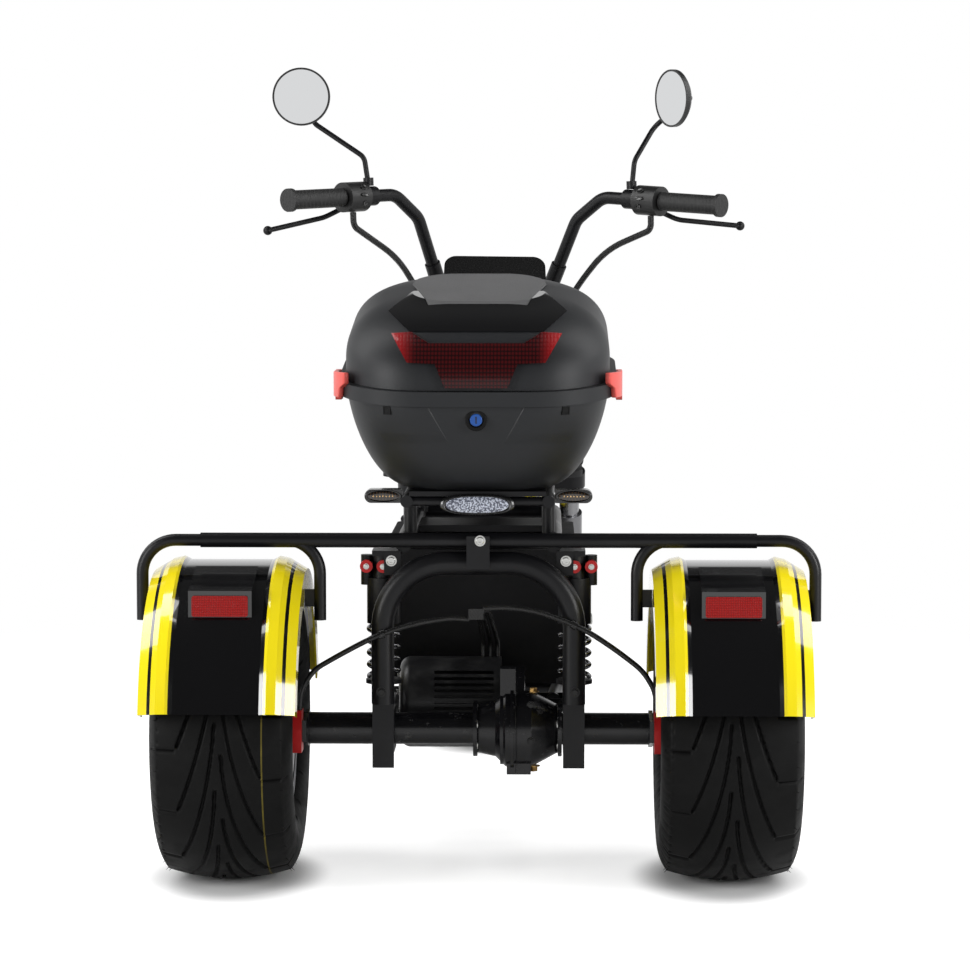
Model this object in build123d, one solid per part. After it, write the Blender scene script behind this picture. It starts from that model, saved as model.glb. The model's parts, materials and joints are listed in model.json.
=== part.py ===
"""Electric tricycle: one steered front wheel, a driven rear axle and a luggage box with a hinged lid.

Millimetres. +X is the rider's right, +Y is forward, +Z is up. The pieces are drawn with the rear axle
at Y = 0 and moved at the end, so that the origin lies on the ground under the middle of the whole
vehicle. Each sub-part is written to parts/NODE.step.
"""
from build123d import *

import os
from math import asin, cos, radians, sin, sqrt, tan

STANDING = (Align.CENTER, Align.CENTER, Align.MIN)
SIDES = (-1, 1)

# ------------------------------------------------------------ whole vehicle
wheelbase = 1290.0
track = 742.0
seat_gap = 0.3              # a fitted piece stands this far from what carries it
running_clearance = 0.08    # radial, where something turns on a shaft

# ------------------------------------------------------------ wheels
tyre_radius = 225.0
tyre_width = 208.0
tyre_crown_drop = 14.0      # how much lower the tread's edge is than its middle
tread_half = 90.0
tyre_side_radius = 172.0
tyre_wall = 12.0
bead_radius = 101.6
bead_half = 82.0
bead_thick = 16.0
rim_flange = 17.0
rim_lip = 6.0
rim_wall = 5.0
rim_well_radius = 90.0
rim_well_half = 40.0
hub_radius = 32.0
hub_half = 78.0
spoke_count = 5
spoke_width = 13.0
spoke_spread = 30.0         # between the two bars of one double spoke, at the rim
spoke_depth = 18.0
spoke_offset = 40.0         # from the wheel's middle plane to the spokes' own
shaft_radius = 12.0
disc_radius = 80.0
disc_bore = 26.0
disc_thick = 4.0
disc_offset = 84.0
disc_window_count = 8
disc_window_radius = 9.0

# ------------------------------------------------------------ rear axle and drive
axle_tube_radius = 24.0
axle_end_inset = 107.0      # from a wheel's middle plane to the end of the axle tube
axle_end_x = track / 2 - axle_end_inset
shaft_reach = 30.0          # of a wheel's shaft inside the axle tube
caliper_length = 62.0
caliper_width = 40.0
caliper_height = 38.0
caliper_reach = 71.0        # from the axle's middle to the caliper's
caliper_rise = 7.0
disc_slot = 8.0
bracket_thick = 6.0
diff_x = 58.0
diff_half = 60.0
diff_radius = 57.0
diff_end_radius = 36.0
diff_flange_radius = 42.0
diff_flange_thick = 6.0
diff_rib_thick = 5.0
diff_rib_radius = 62.0
motor_y = 138.0
motor_z = 245.0
motor_radius = 70.0
motor_left_x = -124.0
motor_cap_length = 54.0
motor_flange_thick = 11.0
motor_fin_pitch = 8.6
motor_fin_thick = 4.2
motor_fin_depth = 7.0
motor_fin_rows = 13
motor_cap_round = 16.0
diff_neck_x = (-26.0, -3.0)
diff_neck_half = 16.0
diff_neck_top = 92.0
gearcase_left_x = 32.0
gearcase_thick = 36.0
gearcase_wall = 54.0

# ------------------------------------------------------------ rear arch and fender guard
arch_tube = 34.0
arch_half = 142.0
arch_bend = 96.0
arch_top_z = 479.0
arch_y = -45.0
clamp_width = 32.0
clamp_thick = 8.0
clamp_top_z = 298.0
clamp_bottom_z = 172.0
guard_bar_tube = 22.0
guard_bar_reach = 41.0      # past the middle plane of a wheel
guard_bar_half = track / 2 + guard_bar_reach
guard_z = 513.0
guard_plate_width = 34.0
guard_plate_thick = 6.0
hoop_tube = 18.0
hoop_outer_reach = 128.0    # from a wheel's middle plane to its hoop's outer leg
hoop_inner_reach = 136.0
hoop_outer_x = track / 2 + hoop_outer_reach
hoop_inner_x = track / 2 - hoop_inner_reach
hoop_bend = 50.0
hoop_foot_z = 394.0
hoop_tab_height = 26.0
hoop_tab_thick = 6.0

# ------------------------------------------------------------ fenders
fender_half = 113.0
fender_wall = 3.0
fender_skirt_radius = 206.0
fender_edge_radius = 240.0
fender_ridge_half = 72.0
fender_ridge_radius = 259.0
fender_channel_half = 62.0
fender_channel_radius = 254.0
rear_fender_back_angle = 13.0
rear_fender_front_angle = 13.0
front_fender_back_angle = 32.0
front_fender_front_angle = 38.0
hump_half = 46.0
hump_face_y = -171.0
hump_top_z = 451.0
hump_start_y = -64.0
reflector_width = 81.0
reflector_height = 30.0
reflector_thick = 4.0
reflector_z = 429.0

# ------------------------------------------------------------ shocks
shock_x = 143.0
shock_y = 3.0
shock_foot_radius = 14.0
spring_radius = 22.0
spring_wire = 8.0
spring_low_z = 300.0
spring_high_z = 384.0
spring_pitch = 18.0
spring_seat_radius = 27.0
spring_seat_thick = 6.0
damper_radius = 13.0
shock_cover_radius = 25.0
shock_cover_top_z = 453.0
shock_head_radius = 17.0
shock_head_top_z = 487.0
knob_radius = 9.5
head_knob_thick = 5.5
reservoir_knob_thick = 11.0
knob_spread = 25.0
knob_z = 471.0
reservoir_radius = 9.0
reservoir_low_z = 442.0

# ------------------------------------------------------------ hoses and cables
hose_diameter = 8.0
hose_clip_width = 9.0
hose_clip_wall = 2.5
splitter_size = (22.0, 12.0, 16.0)
splitter_x = -3.0
splitter_z = 406.0
# the places across the vehicle and above the ground that each brake hose goes through
left_hose_points = ((-40.0, 400.0), (-80.0, 394.0), (-120.0, 384.0), (-161.0, 368.0), (-204.0, 345.0))
right_hose_points = ((38.0, 416.0), (78.0, 412.0), (121.0, 399.0), (163.0, 380.0), (205.0, 352.0))
hose_drop_x = 262.0
hose_drop_z = 302.0
motor_cable_diameter = 7.0
motor_cable_xs = (4.0, 15.0, 26.0)
motor_cable_bend_y = (-20.0, 40.0, 100.0)
motor_cable_bend_z = (407.0, 394.0, 366.0)
control_cable_diameter = 11.0
control_cable_foot_x = 96.0
control_cable_foot_ahead = 12.0
# half width, distance behind the steering axis and height of the bends, left and right
cable_bends = {
    -1: ((168.0, 50.0, 932.0), (132.0, 20.0, 872.0), (112.0, 6.0, 800.0)),
    1: ((202.0, 50.0, 932.0), (154.0, 20.0, 868.0), (116.0, 6.0, 800.0)),
}

# ------------------------------------------------------------ main frame
rail_x = 112.0
rail_z = 506.0
rail_tube = 26.0
strut_tube = 24.0
cross_tube = 21.0
floor_cross_tube = 23.0
rail_rear_y = -22.0
rail_knee_y = 560.0
rail_bend = 60.0
tray_rear_y = 222.0
tray_depth = 135.0
tray_half = 110.0
tray_thick = 10.0
battery_rear_y = 225.0
battery_front_y = 496.0
battery_half = 145.0
battery_bottom_z = 261.0
battery_round = 14.0
floor_z = 196.0
floor_rail_x = 122.0
floor_to_wheel = 400.0      # from the floor rails' front ends to the front axle
floor_front_y = wheelbase - floor_to_wheel
floor_thick = 16.0
floor_half = 166.0
floor_rear_y = 600.0
deck_to_wheel = 345.0
floor_end_y = wheelbase - deck_to_wheel
pivot_y = 372.0
pivot_z = 214.0
pivot_tube = 34.0
arm_tube = 28.0
spine_tube = 48.0
knee_to_wheel = 315.0
spine_knee_y = wheelbase - knee_to_wheel
spine_knee_z = 400.0

# ------------------------------------------------------------ rack, seat and rear lamps
rack_top_z = 590.0
rack_rail_x = 104.0
rack_tube = 18.0
rack_cross_tube = 14.0
rack_plate_half = 100.0
rack_plate_thick = 6.0
rack_rear_y = -100.0
rack_plate_front_y = 190.0
rack_front_y = 660.0
post_tube = 20.0
rear_post_y = 34.0
front_post_y = 470.0
pan_thick = 10.0
pan_inset = 10.0
seat_rear_y = 222.0
seat_front_y = 770.0
seat_nose_half = 118.0
seat_half = 168.0
seat_height = 104.0
seat_corner = 60.0
seat_round = 26.0
lamp_half = 54.0
lamp_height = 30.0
lamp_depth = 34.0
lamp_rear_y = -122.0
lamp_z = 572.0
signal_half = 31.0
signal_height = 20.0
signal_depth = 30.0
signal_x = 138.0
signal_y = -40.0
signal_z = 578.0

# ------------------------------------------------------------ luggage box
box_wall = 4.0
box_floor_z = rack_top_z + seat_gap
box_split_z = 765.0
box_split_tilt = 7.0
band_out = 10.0
band_height = 21.0
lid_seam = 0.6
# height, forward shift, tilt, half width, half depth and corner radius of the base's sections
base_sections = (
    (box_floor_z, 14.0, 0.0, 98.0, 106.0, 60.0),
    (601.0, 12.0, 0.0, 124.0, 130.0, 78.0),
    (620.0, 9.0, 1.0, 144.0, 150.0, 92.0),
    (650.0, 6.0, 2.0, 163.0, 168.0, 104.0),
    (705.0, 2.0, 5.0, 183.0, 187.0, 116.0),
    (box_split_z, 0.0, box_split_tilt, 194.0, 195.0, 122.0),
)
# the same for the lid
lid_sections = (
    (box_split_z, 0.0, box_split_tilt, 194.0, 195.0, 122.0),
    (806.0, 1.0, 8.0, 193.0, 192.0, 121.0),
    (840.0, 5.0, 9.0, 183.0, 178.0, 116.0),
    (862.0, 9.0, 10.0, 162.0, 155.0, 104.0),
    (876.0, 13.0, 11.0, 132.0, 124.0, 86.0),
    (884.0, 16.0, 12.0, 96.0, 90.0, 60.0),
)
# half width and height above the split, from the top down
panel_outline = ((104.0, 127.0), (143.0, 99.0), (97.0, 61.0))
lamp_outline = ((94.0, 60.0), (123.0, 58.0), (99.0, 17.0), (59.0, 15.0), (45.0, -19.0))
lamp_notch = (68.0, 44.5)
# half width and place along the vehicle, from the front back
mat_outline = ((84.0, 118.0), (100.0, 40.0), (72.0, -82.0))
panel_cut = ((96.0, -10.0), (143.0, -110.0), (150.0, -260.0))
panel_out = 3.0
mat_gap = 1.0
mat_out = 2.5
tail_lamp_out = 7.0
latch_width = 46.0
latch_height = 44.0
latch_thick = 9.0
latch_y = 4.0
latch_z = 742.0
lock_radius = 16.5
lock_barrel_radius = 8.2
lock_z = 704.0
lock_out = 7.0
hinge_x = 92.0
hinge_gap_y = 9.0
hinge_pin_radius = 3.0
hinge_knuckle_radius = 7.0
hinge_knuckle_length = 26.0

# ------------------------------------------------------------ steering
rake = 24.0
trail = 70.0
parked_steer_angle = 5.0
fork_leg_x = 147.0
slider_radius = 24.0
slider_top_w = 470.0
slider_foot = 32.0
stanchion_radius = 18.5
axle_radius = 8.0
yoke_low_w = 536.0
yoke_low_thick = 30.0
head_gap = 5.0
head_length = 150.0
head_radius = 28.0
yoke_top_thick = 24.0
yoke_width = 44.0
stem_radius = 15.0
bar_tube = 22.2
bar_fat_tube = 28.0
bar_foot_x = 44.0
bar_foot_rise = 26.0
bar_knee_x = 141.0
bar_knee_z = 994.0
bar_shoulder_x = 184.0
bar_shoulder_z = 1034.0
bar_shoulder_back = 20.0    # how far the bends at the shoulders lie behind the steering axis
bar_end_x = 366.0
bar_end_z = 1020.0
bar_sweep = 43.0
bar_roll = 2.7              # the bars sit a little crooked in their clamp
bar_bend = 44.0
bar_foot_bend = 26.0
clamp_block = 34.0
grip_radius = 16.5
grip_length = 118.0
grip_cap_radius = 20.0
grip_cap_thick = 8.0
pod_length = 48.0
pod_radius = 26.0
pod_gap = 3.0
perch_length = 26.0
perch_radius = 17.0
lever_thick = 9.0
lever_ball_radius = 8.0
lever_length = 190.0
left_lever_drop = 40.0
right_lever_drop = 26.0
mirror_radius = 50.0
mirror_dome = 22.0
mirror_rim = 8.0
mirror_stalk = 9.0
mirror_ball = 7.0
left_mirror_x = 327.0
left_mirror_z = 1216.0
right_mirror_x = 316.0
right_mirror_z = 1192.0
mirror_back = 30.0
left_mirror_yaw = -5.0
right_mirror_yaw = -63.0
display_width = 178.0
display_height = 112.0
display_thick = 26.0
display_lean = 38.0
display_back = 140.0        # behind the steering axis at its own height
display_z = 884.0
headlight_radius = 76.0
headlight_depth = 88.0
headlight_wall = 16.0
headlight_lens_radius = 66.0
headlight_lens_depth = 12.0
headlight_cup_depth = 22.0
headlight_v = 112.0
headlight_w = 650.0


# ------------------------------------------------------------ small makers
def rod(start, end, radius):
    """A round bar from one point to another."""
    span = Vector(*end) - Vector(*start)
    return Plane(origin=start, z_dir=span) * Cylinder(radius, span.length, align=STANDING)


def tube(points, diameter, bend):
    """A round bar along straight runs joined by tangent arcs."""
    path = FilletPolyline(*points, radius=bend)
    return sweep(Plane(origin=path @ 0, z_dir=path % 0) * Circle(diameter / 2), path=path)


def cord(points, diameter):
    """A round cord whose bends are as wide as their two runs allow."""
    bends = []
    for before, here, after in zip(points, points[1:], points[2:]):
        run_in = Vector(*here) - Vector(*before)
        run_out = Vector(*after) - Vector(*here)
        half_turn = radians(run_in.get_angle(run_out)) / 2
        bends.append(0.45 * min(run_in.length, run_out.length) / tan(half_turn))
    return tube(points, diameter, bends)


def block(low, high):
    """A plain box between two corners."""
    size = [b - a for a, b in zip(low, high)]
    middle = [(a + b) / 2 for a, b in zip(low, high)]
    return Pos(*middle) * Box(*size)


def plate(outline, thick, plane):
    """A flat plate with a given outline, standing from the plane along its normal."""
    return extrude(plane * make_face(Polyline(*outline, close=True)), thick)


def ring_profile(points):
    """A closed outline of straight lines for a body turned about the X axis."""
    return make_face(Polyline(*points, close=True))


def dome_profile(radius, wall, rise):
    """Half of a round shell's section about the Y axis: a straight wall and a spherical back."""
    ball = (radius ** 2 + rise ** 2) / (2 * rise)
    half_turn = asin(min(1.0, radius / ball)) / 2
    middle = (ball * sin(half_turn), wall + rise - ball + ball * cos(half_turn))
    return make_face(Wire([
        Line((0, 0), (radius, 0)),
        Line((radius, 0), (radius, wall)),
        ThreePointArc((radius, wall), middle, (0, wall + rise)),
        Line((0, wall + rise), (0, 0)),
    ]))


def mirrored(shape):
    """The same shape on the other side of the vehicle."""
    return mirror(shape, about=Plane.YZ)


def turned_axle(radius, low_x, high_x):
    """A round bar along X through the origin."""
    return rod((low_x, 0, 0), (high_x, 0, 0), radius)


# ------------------------------------------------------------ wheels
def tyre():
    """One fat low-pressure tyre, hollow inside and open at its beads."""
    half = tyre_width / 2
    shoulder = tyre_radius - tyre_crown_drop
    bead_top = bead_radius + rim_flange + 1
    right = [
        Line((bead_half, bead_radius), (bead_half, bead_top)),
        ThreePointArc((bead_half, bead_top), (half, tyre_side_radius), (tread_half, shoulder)),
    ]
    crown = ThreePointArc((tread_half, shoulder), (0, tyre_radius), (-tread_half, shoulder))
    left = [
        ThreePointArc((-tread_half, shoulder), (-half, tyre_side_radius), (-bead_half, bead_top)),
        Line((-bead_half, bead_top), (-bead_half, bead_radius)),
    ]
    foot = Line((-bead_half, bead_radius), (bead_half, bead_radius))
    outside = make_face(Wire([*right, crown, *left, foot]))
    inside = offset(outside, -tyre_wall)
    mouth = Rectangle(2 * (bead_half - bead_thick), 4 * tyre_wall)
    section = outside - inside - Pos(0, bead_radius + tyre_wall) * mouth
    return revolve(section, axis=Axis.X)


def spoke_pair(angle):
    """One double spoke, its two bars spreading towards the rim."""
    pair = Part()
    root = hub_radius - 6
    tip = rim_well_radius - rim_wall + 1
    for side in SIDES:
        start_spread = side * spoke_width * 0.55
        end_spread = side * spoke_spread / 2
        outline = [
            (start_spread - spoke_width / 2, root),
            (start_spread + spoke_width / 2, root),
            (end_spread + spoke_width / 2, tip),
            (end_spread - spoke_width / 2, tip),
        ]
        pair += plate(outline, spoke_depth, Plane.YZ)
    return Rot(angle, 0, 0) * Pos(spoke_offset - spoke_depth / 2, 0, 0) * pair


def rim(outer_end, inner_end):
    """An alloy rim with its hub. Positive x is the outer face, and the hub ends at the two given x."""
    seat = bead_radius - seat_gap
    edge = bead_half + seat_gap
    flange = bead_radius + rim_flange
    well = rim_well_radius
    slope = 20.0
    half = [
        (rim_well_half, well),
        (rim_well_half + slope, seat),
        (edge, seat),
        (edge, flange),
        (edge + rim_lip, flange),
        (edge + rim_lip, seat - rim_wall),
        (rim_well_half + slope + 2, seat - rim_wall),
        (rim_well_half + 2, well - rim_wall),
    ]
    outline = half + [(-x, r) for x, r in reversed(half)]
    wheel = revolve(ring_profile(outline), axis=Axis.X)
    wheel += turned_axle(hub_radius, inner_end, outer_end)
    for index in range(spoke_count):
        wheel += spoke_pair(index * 360 / spoke_count)
    return wheel


def brake_disc():
    """A drilled brake disc about the X axis, with its inner face at x = 0."""
    disc = turned_axle(disc_radius, 0, disc_thick) - turned_axle(disc_bore, -1, disc_thick + 1)
    middle = (disc_radius + disc_bore) / 2
    for index in range(disc_window_count):
        hole = Pos(0, middle, 0) * turned_axle(disc_window_radius, -1, disc_thick + 1)
        disc -= Rot((index + 0.5) * 360 / disc_window_count, 0, 0) * hole
    return disc


wheel_hub_outer = hub_half * 0.6
wheel_hub_inner = -disc_offset


def rear_rim():
    """A driven rim with the stub of its half shaft, which turns in the axle tube."""
    wheel = rim(wheel_hub_outer, wheel_hub_inner)
    stub_end = axle_end_x - shaft_reach - track / 2
    return wheel + turned_axle(shaft_radius, stub_end, wheel_hub_inner)


def front_rim():
    """The front rim, bored for its fixed axle."""
    wheel = rim(hub_half * 0.9, wheel_hub_inner)
    return wheel - turned_axle(axle_radius + running_clearance, -track, track)


def wheel_disc(inner_end):
    """A wheel's brake disc, bolted against the inner end of the hub."""
    return Pos(inner_end - disc_thick - seat_gap, 0, 0) * brake_disc()


def place_wheel(piece, side):
    """Moves a wheel piece drawn about the origin to the left or right end of the rear axle."""
    turned = piece if side > 0 else mirrored(piece)
    return Pos(side * track / 2, 0, tyre_radius) * turned


# ------------------------------------------------------------ rear axle and drive
def caliper_plate_x():
    """Where the inner face of the caliper bracket lies on the axle tube."""
    return axle_end_x - bracket_thick - 4


def axle_housing():
    """The two axle tubes, each with a flange on the differential and a caliper bracket near its end."""
    left_face = diff_x - diff_half - seat_gap
    right_face = diff_x + diff_half + seat_gap
    bore = shaft_radius + running_clearance
    housing = Part()
    for side, face in ((-1, left_face), (1, right_face)):
        end = side * axle_end_x
        arm = turned_axle(axle_tube_radius, min(face, end), max(face, end))
        arm += turned_axle(diff_flange_radius, *sorted((face, face + side * diff_flange_thick)))
        inner = side * caliper_plate_x()
        outline = [
            (0, axle_tube_radius + 4),
            (-caliper_reach - 8, caliper_rise + 16),
            (-caliper_reach - 8, caliper_rise - 16),
            (0, -axle_tube_radius - 4),
            (axle_tube_radius, 0),
        ]
        bracket = plate(outline, bracket_thick, Plane.YZ)
        arm += Pos(min(inner, inner + side * bracket_thick), 0, 0) * bracket
        arm -= turned_axle(bore, *sorted((end - side * (shaft_reach + 6), end + side)))
        housing += Pos(0, 0, tyre_radius) * arm
    return housing


def caliper(side):
    """A brake caliper over the rear of the disc, bolted to the bracket on the axle tube."""
    disc_x = track / 2 - disc_offset - disc_thick / 2 - seat_gap
    inner = caliper_plate_x() + bracket_thick + seat_gap
    outer = disc_x + caliper_width / 2
    low = (inner, -caliper_reach - caliper_height / 2, caliper_rise - caliper_length / 2)
    high = (outer, -caliper_reach + caliper_height / 2, caliper_rise + caliper_length / 2)
    body = block(low, high)
    swept = turned_axle(disc_radius + 4, disc_x - disc_slot / 2, disc_x + disc_slot / 2)
    body -= swept
    limit = turned_axle(bead_radius - rim_wall - 6, 0, track) - turned_axle(hub_radius + 8, 0, track)
    body = body & limit
    body = Pos(0, 0, tyre_radius) * body
    return body if side > 0 else mirrored(body)


def differential():
    """The drop-shaped differential case with the gearcase that carries the motor."""
    profile = [
        (-diff_half, 0),
        (-diff_half, diff_end_radius),
        (-diff_half * 0.55, diff_end_radius + 6),
        (-diff_half * 0.3, diff_radius),
        (diff_half * 0.35, diff_radius),
        (diff_half * 0.7, diff_end_radius + 10),
        (diff_half, diff_end_radius),
        (diff_half, 0),
    ]
    case = revolve(ring_profile(profile), axis=Axis.X)
    split = gearcase_left_x + gearcase_thick / 2 - diff_x
    case += turned_axle(diff_rib_radius, split - diff_rib_thick / 2, split + diff_rib_thick / 2)
    sump = block((-16, -30, -diff_radius - 8), (20, 30, 0))
    case += sump
    case += block((diff_neck_x[0], -diff_neck_half, 0), (diff_neck_x[1], diff_neck_half, diff_neck_top))
    case = Pos(diff_x, 0, tyre_radius) * case
    face = Plane(origin=(gearcase_left_x, 0, 0), x_dir=(0, 1, 0), z_dir=(1, 0, 0))
    rounds = Pos(0, tyre_radius) * Circle(gearcase_wall) + Pos(motor_y, motor_z) * Circle(gearcase_wall)
    waist = make_hull(rounds.edges())
    return case + extrude(face * waist, gearcase_thick)


def drive_motor():
    """The motor, with a rounded end cap, standing against the gearcase."""
    right = gearcase_left_x - seat_gap
    body = turned_axle(motor_radius, motor_left_x, right)
    cap_edge = body.edges().filter_by(GeomType.CIRCLE).sort_by(Axis.X)[0]
    body = fillet(cap_edge, motor_cap_round)
    fins_start = motor_left_x + motor_cap_length
    fins_end = right - motor_flange_thick
    skin = turned_axle(motor_radius + 1, fins_start, fins_end)
    skin -= turned_axle(motor_radius - motor_fin_depth, fins_start - 1, fins_end + 1)
    gap = (motor_fin_pitch - motor_fin_thick) / 2
    grooves = Part()
    for row in range(motor_fin_rows):
        z = (row - (motor_fin_rows - 1) / 2) * motor_fin_pitch
        grooves += block((fins_start, -2 * motor_radius, z - gap), (fins_end, 2 * motor_radius, z + gap))
    return Pos(0, motor_y, motor_z) * (body - (skin & grooves))


# ------------------------------------------------------------ rear arch and fender guard
def rear_arch():
    """The bent arch over the axle, with the two plates that clamp the axle tube."""
    foot = tyre_radius + axle_tube_radius + 20
    points = [
        (-arch_half, arch_y, foot),
        (-arch_half, arch_y, arch_top_z),
        (arch_half, arch_y, arch_top_z),
        (arch_half, arch_y, foot),
    ]
    arch = tube(points, arch_tube, arch_bend)
    front = axle_tube_radius + clamp_thick
    for side in SIDES:
        low_x = side * arch_half - clamp_width / 2
        high_x = side * arch_half + clamp_width / 2
        clamp = block((low_x, arch_y, clamp_bottom_z), (high_x, front, clamp_top_z))
        hollow_top = block((low_x - 1, arch_y + clamp_thick, tyre_radius + front),
                           (high_x + 1, front + 1, clamp_top_z + 1))
        hollow_low = block((low_x - 1, arch_y + clamp_thick, clamp_bottom_z - 1),
                           (high_x + 1, front + 1, tyre_radius - front))
        clamp = clamp - hollow_top - hollow_low
        bore = Pos(0, 0, tyre_radius) * turned_axle(axle_tube_radius + seat_gap, low_x - 1, high_x + 1)
        arch += clamp - bore
    return arch


def fender_guard():
    """The crossbar with a hoop over each rear fender, and the plate that bolts it above the arch."""
    guard = rod((-guard_bar_half, arch_y, guard_z), (guard_bar_half, arch_y, guard_z), guard_bar_tube / 2)
    inner_side = track / 2 - fender_half - seat_gap
    outer_side = track / 2 + fender_half + seat_gap
    top = hoop_foot_z + hoop_tab_height + 20
    for side in SIDES:
        points = [
            (side * hoop_inner_x, arch_y, hoop_foot_z),
            (side * hoop_inner_x, arch_y, guard_z),
            (side * hoop_outer_x, arch_y, guard_z),
            (side * hoop_outer_x, arch_y, hoop_foot_z),
        ]
        guard += tube(points, hoop_tube, hoop_bend)
        for near, far in ((hoop_inner_x, inner_side), (hoop_outer_x, outer_side)):
            xs = sorted((side * near, side * far))
            low = (xs[0], arch_y - hoop_tab_thick / 2, top - hoop_tab_height)
            guard += block(low, (xs[1], arch_y + hoop_tab_thick / 2, top))
    plate_back = arch_y - arch_tube / 2 - guard_plate_thick
    guard += block((-guard_plate_width / 2, plate_back, arch_top_z - guard_plate_thick),
                   (guard_plate_width / 2, plate_back + guard_plate_thick - seat_gap, guard_z + 8))
    guard += block((-guard_plate_width / 2, plate_back, guard_z - 6),
                   (guard_plate_width / 2, arch_y, guard_z + 8))
    return guard


# ------------------------------------------------------------ fenders
def fender_points(inset):
    """Half of the fender's cross-section from its skirt to its middle, as x and radius."""
    return [
        (fender_half - inset, fender_skirt_radius),
        (fender_half - inset, fender_edge_radius - inset),
        (fender_ridge_half + 14, fender_ridge_radius - 3 - inset),
        (fender_ridge_half, fender_ridge_radius - inset),
        (fender_channel_half, fender_channel_radius - inset),
    ]


def fender(back_angle, front_angle):
    """A ribbed fender shell about the X axis, open below."""
    outer = fender_points(0)
    inner = fender_points(fender_wall)
    outline = outer + [(-x, r) for x, r in reversed(outer)]
    outline += [(-x, r) for x, r in inner] + list(reversed(inner))
    sweep_angle = 180 - back_angle - front_angle
    shell = revolve(ring_profile(outline), axis=Axis.X, revolution_arc=sweep_angle)
    return Rot(front_angle, 0, 0) * shell


def rear_fender(side):
    """A rear fender with the raised block that holds its reflector."""
    shell = fender(rear_fender_back_angle, rear_fender_front_angle)
    outline = [
        (hump_face_y, hump_top_z - tyre_radius - 60),
        (hump_face_y, hump_top_z - tyre_radius),
        (hump_start_y, sqrt(fender_ridge_radius ** 2 - hump_start_y ** 2)),
        (hump_start_y, hump_top_z - tyre_radius - 60),
    ]
    hump = Pos(-hump_half, 0, 0) * plate(outline, 2 * hump_half, Plane.YZ)
    hump -= turned_axle(fender_channel_radius - fender_wall / 2, -fender_half, fender_half)
    return place_wheel(shell + hump, side)


def reflectors():
    """The red reflector on the flat face of each fender's block."""
    back = hump_face_y - seat_gap
    pair = Part()
    for side in SIDES:
        face = Plane(origin=(side * track / 2, back, reflector_z), x_dir=(1, 0, 0), z_dir=(0, -1, 0))
        pair += extrude(face * RectangleRounded(reflector_width, reflector_height, 3), reflector_thick)
    return pair


def front_fender():
    """The front fender between the fork legs, with a tab to each leg."""
    shell = Pos(0, wheelbase, tyre_radius) * fender(front_fender_back_angle, front_fender_front_angle)
    tab_w = axle_w + (fender_skirt_radius + fender_edge_radius) / 2
    centre = fork_point(0, leg_ahead, tab_w)
    for side in SIDES:
        xs = sorted((side * (fender_half - 1), side * fork_leg_x))
        low = (xs[0], centre[1] - 14, centre[2] - 5)
        high = (xs[1], centre[1] + 14, centre[2] + 5)
        leg = rod(fork_point(side * fork_leg_x, leg_ahead, axle_w),
                  fork_point(side * fork_leg_x, leg_ahead, slider_top_w + 20), slider_radius + seat_gap)
        outside = block((xs[0] if side < 0 else fork_leg_x - 8, centre[1] - 40, centre[2] - 30),
                        (-fork_leg_x + 8 if side < 0 else xs[1] + 1, centre[1] + 40, centre[2] + 30))
        shell += block(low, high) - leg - outside
    return shell


# ------------------------------------------------------------ shocks
def spring():
    """A coil spring standing about the Z axis."""
    height = spring_high_z - spring_low_z - spring_wire
    path = Helix(pitch=spring_pitch, height=height, radius=spring_radius)
    wire = sweep(Plane(origin=path @ 0, z_dir=path % 0) * Circle(spring_wire / 2), path=path)
    return Pos(0, 0, spring_low_z + spring_wire / 2) * wire


def shock():
    """A shock absorber without its spring: foot, rod, seats, cover, head and two adjusters."""
    shock_foot_z = tyre_radius + axle_tube_radius + clamp_thick + shock_foot_radius + seat_gap
    foot = rod((0, -15, shock_foot_z), (0, 15, shock_foot_z), shock_foot_radius)
    body = foot + rod((0, 0, shock_foot_z), (0, 0, spring_high_z + 10), damper_radius)
    seat_low = spring_low_z - seat_gap
    seat_high = spring_high_z + seat_gap
    body += rod((0, 0, seat_low - spring_seat_thick), (0, 0, seat_low), spring_seat_radius)
    body += rod((0, 0, seat_high), (0, 0, shock_cover_top_z), shock_cover_radius)
    body += rod((0, 0, shock_cover_top_z), (0, 0, shock_head_top_z), shock_head_radius)
    body += rod((knob_spread, 0, reservoir_low_z), (knob_spread, 0, shock_head_top_z), reservoir_radius)
    return body + block((0, -5, knob_z - 6), (knob_spread, 5, knob_z + 6))


def damper_knobs():
    """The two round adjusters at the rear of a shock's head and of its reservoir."""
    pair = Part()
    head = (0, shock_head_radius + seat_gap, head_knob_thick)
    reservoir = (knob_spread, reservoir_radius + seat_gap, reservoir_knob_thick)
    for x, reach, thick in (head, reservoir):
        pair += rod((x, -reach, knob_z), (x, -reach - thick, knob_z), knob_radius)
    return pair


def place_shock(piece, side):
    """Moves a shock piece drawn about the Z axis to its side of the vehicle."""
    turned = piece if side > 0 else mirrored(piece)
    return Pos(side * shock_x, shock_y, 0) * turned


# ------------------------------------------------------------ hoses and cables
def hose_y():
    """The place along the vehicle where the brake hoses lie against the rear of the arch."""
    return arch_y - arch_tube / 2 - hose_diameter / 2 - seat_gap


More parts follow.
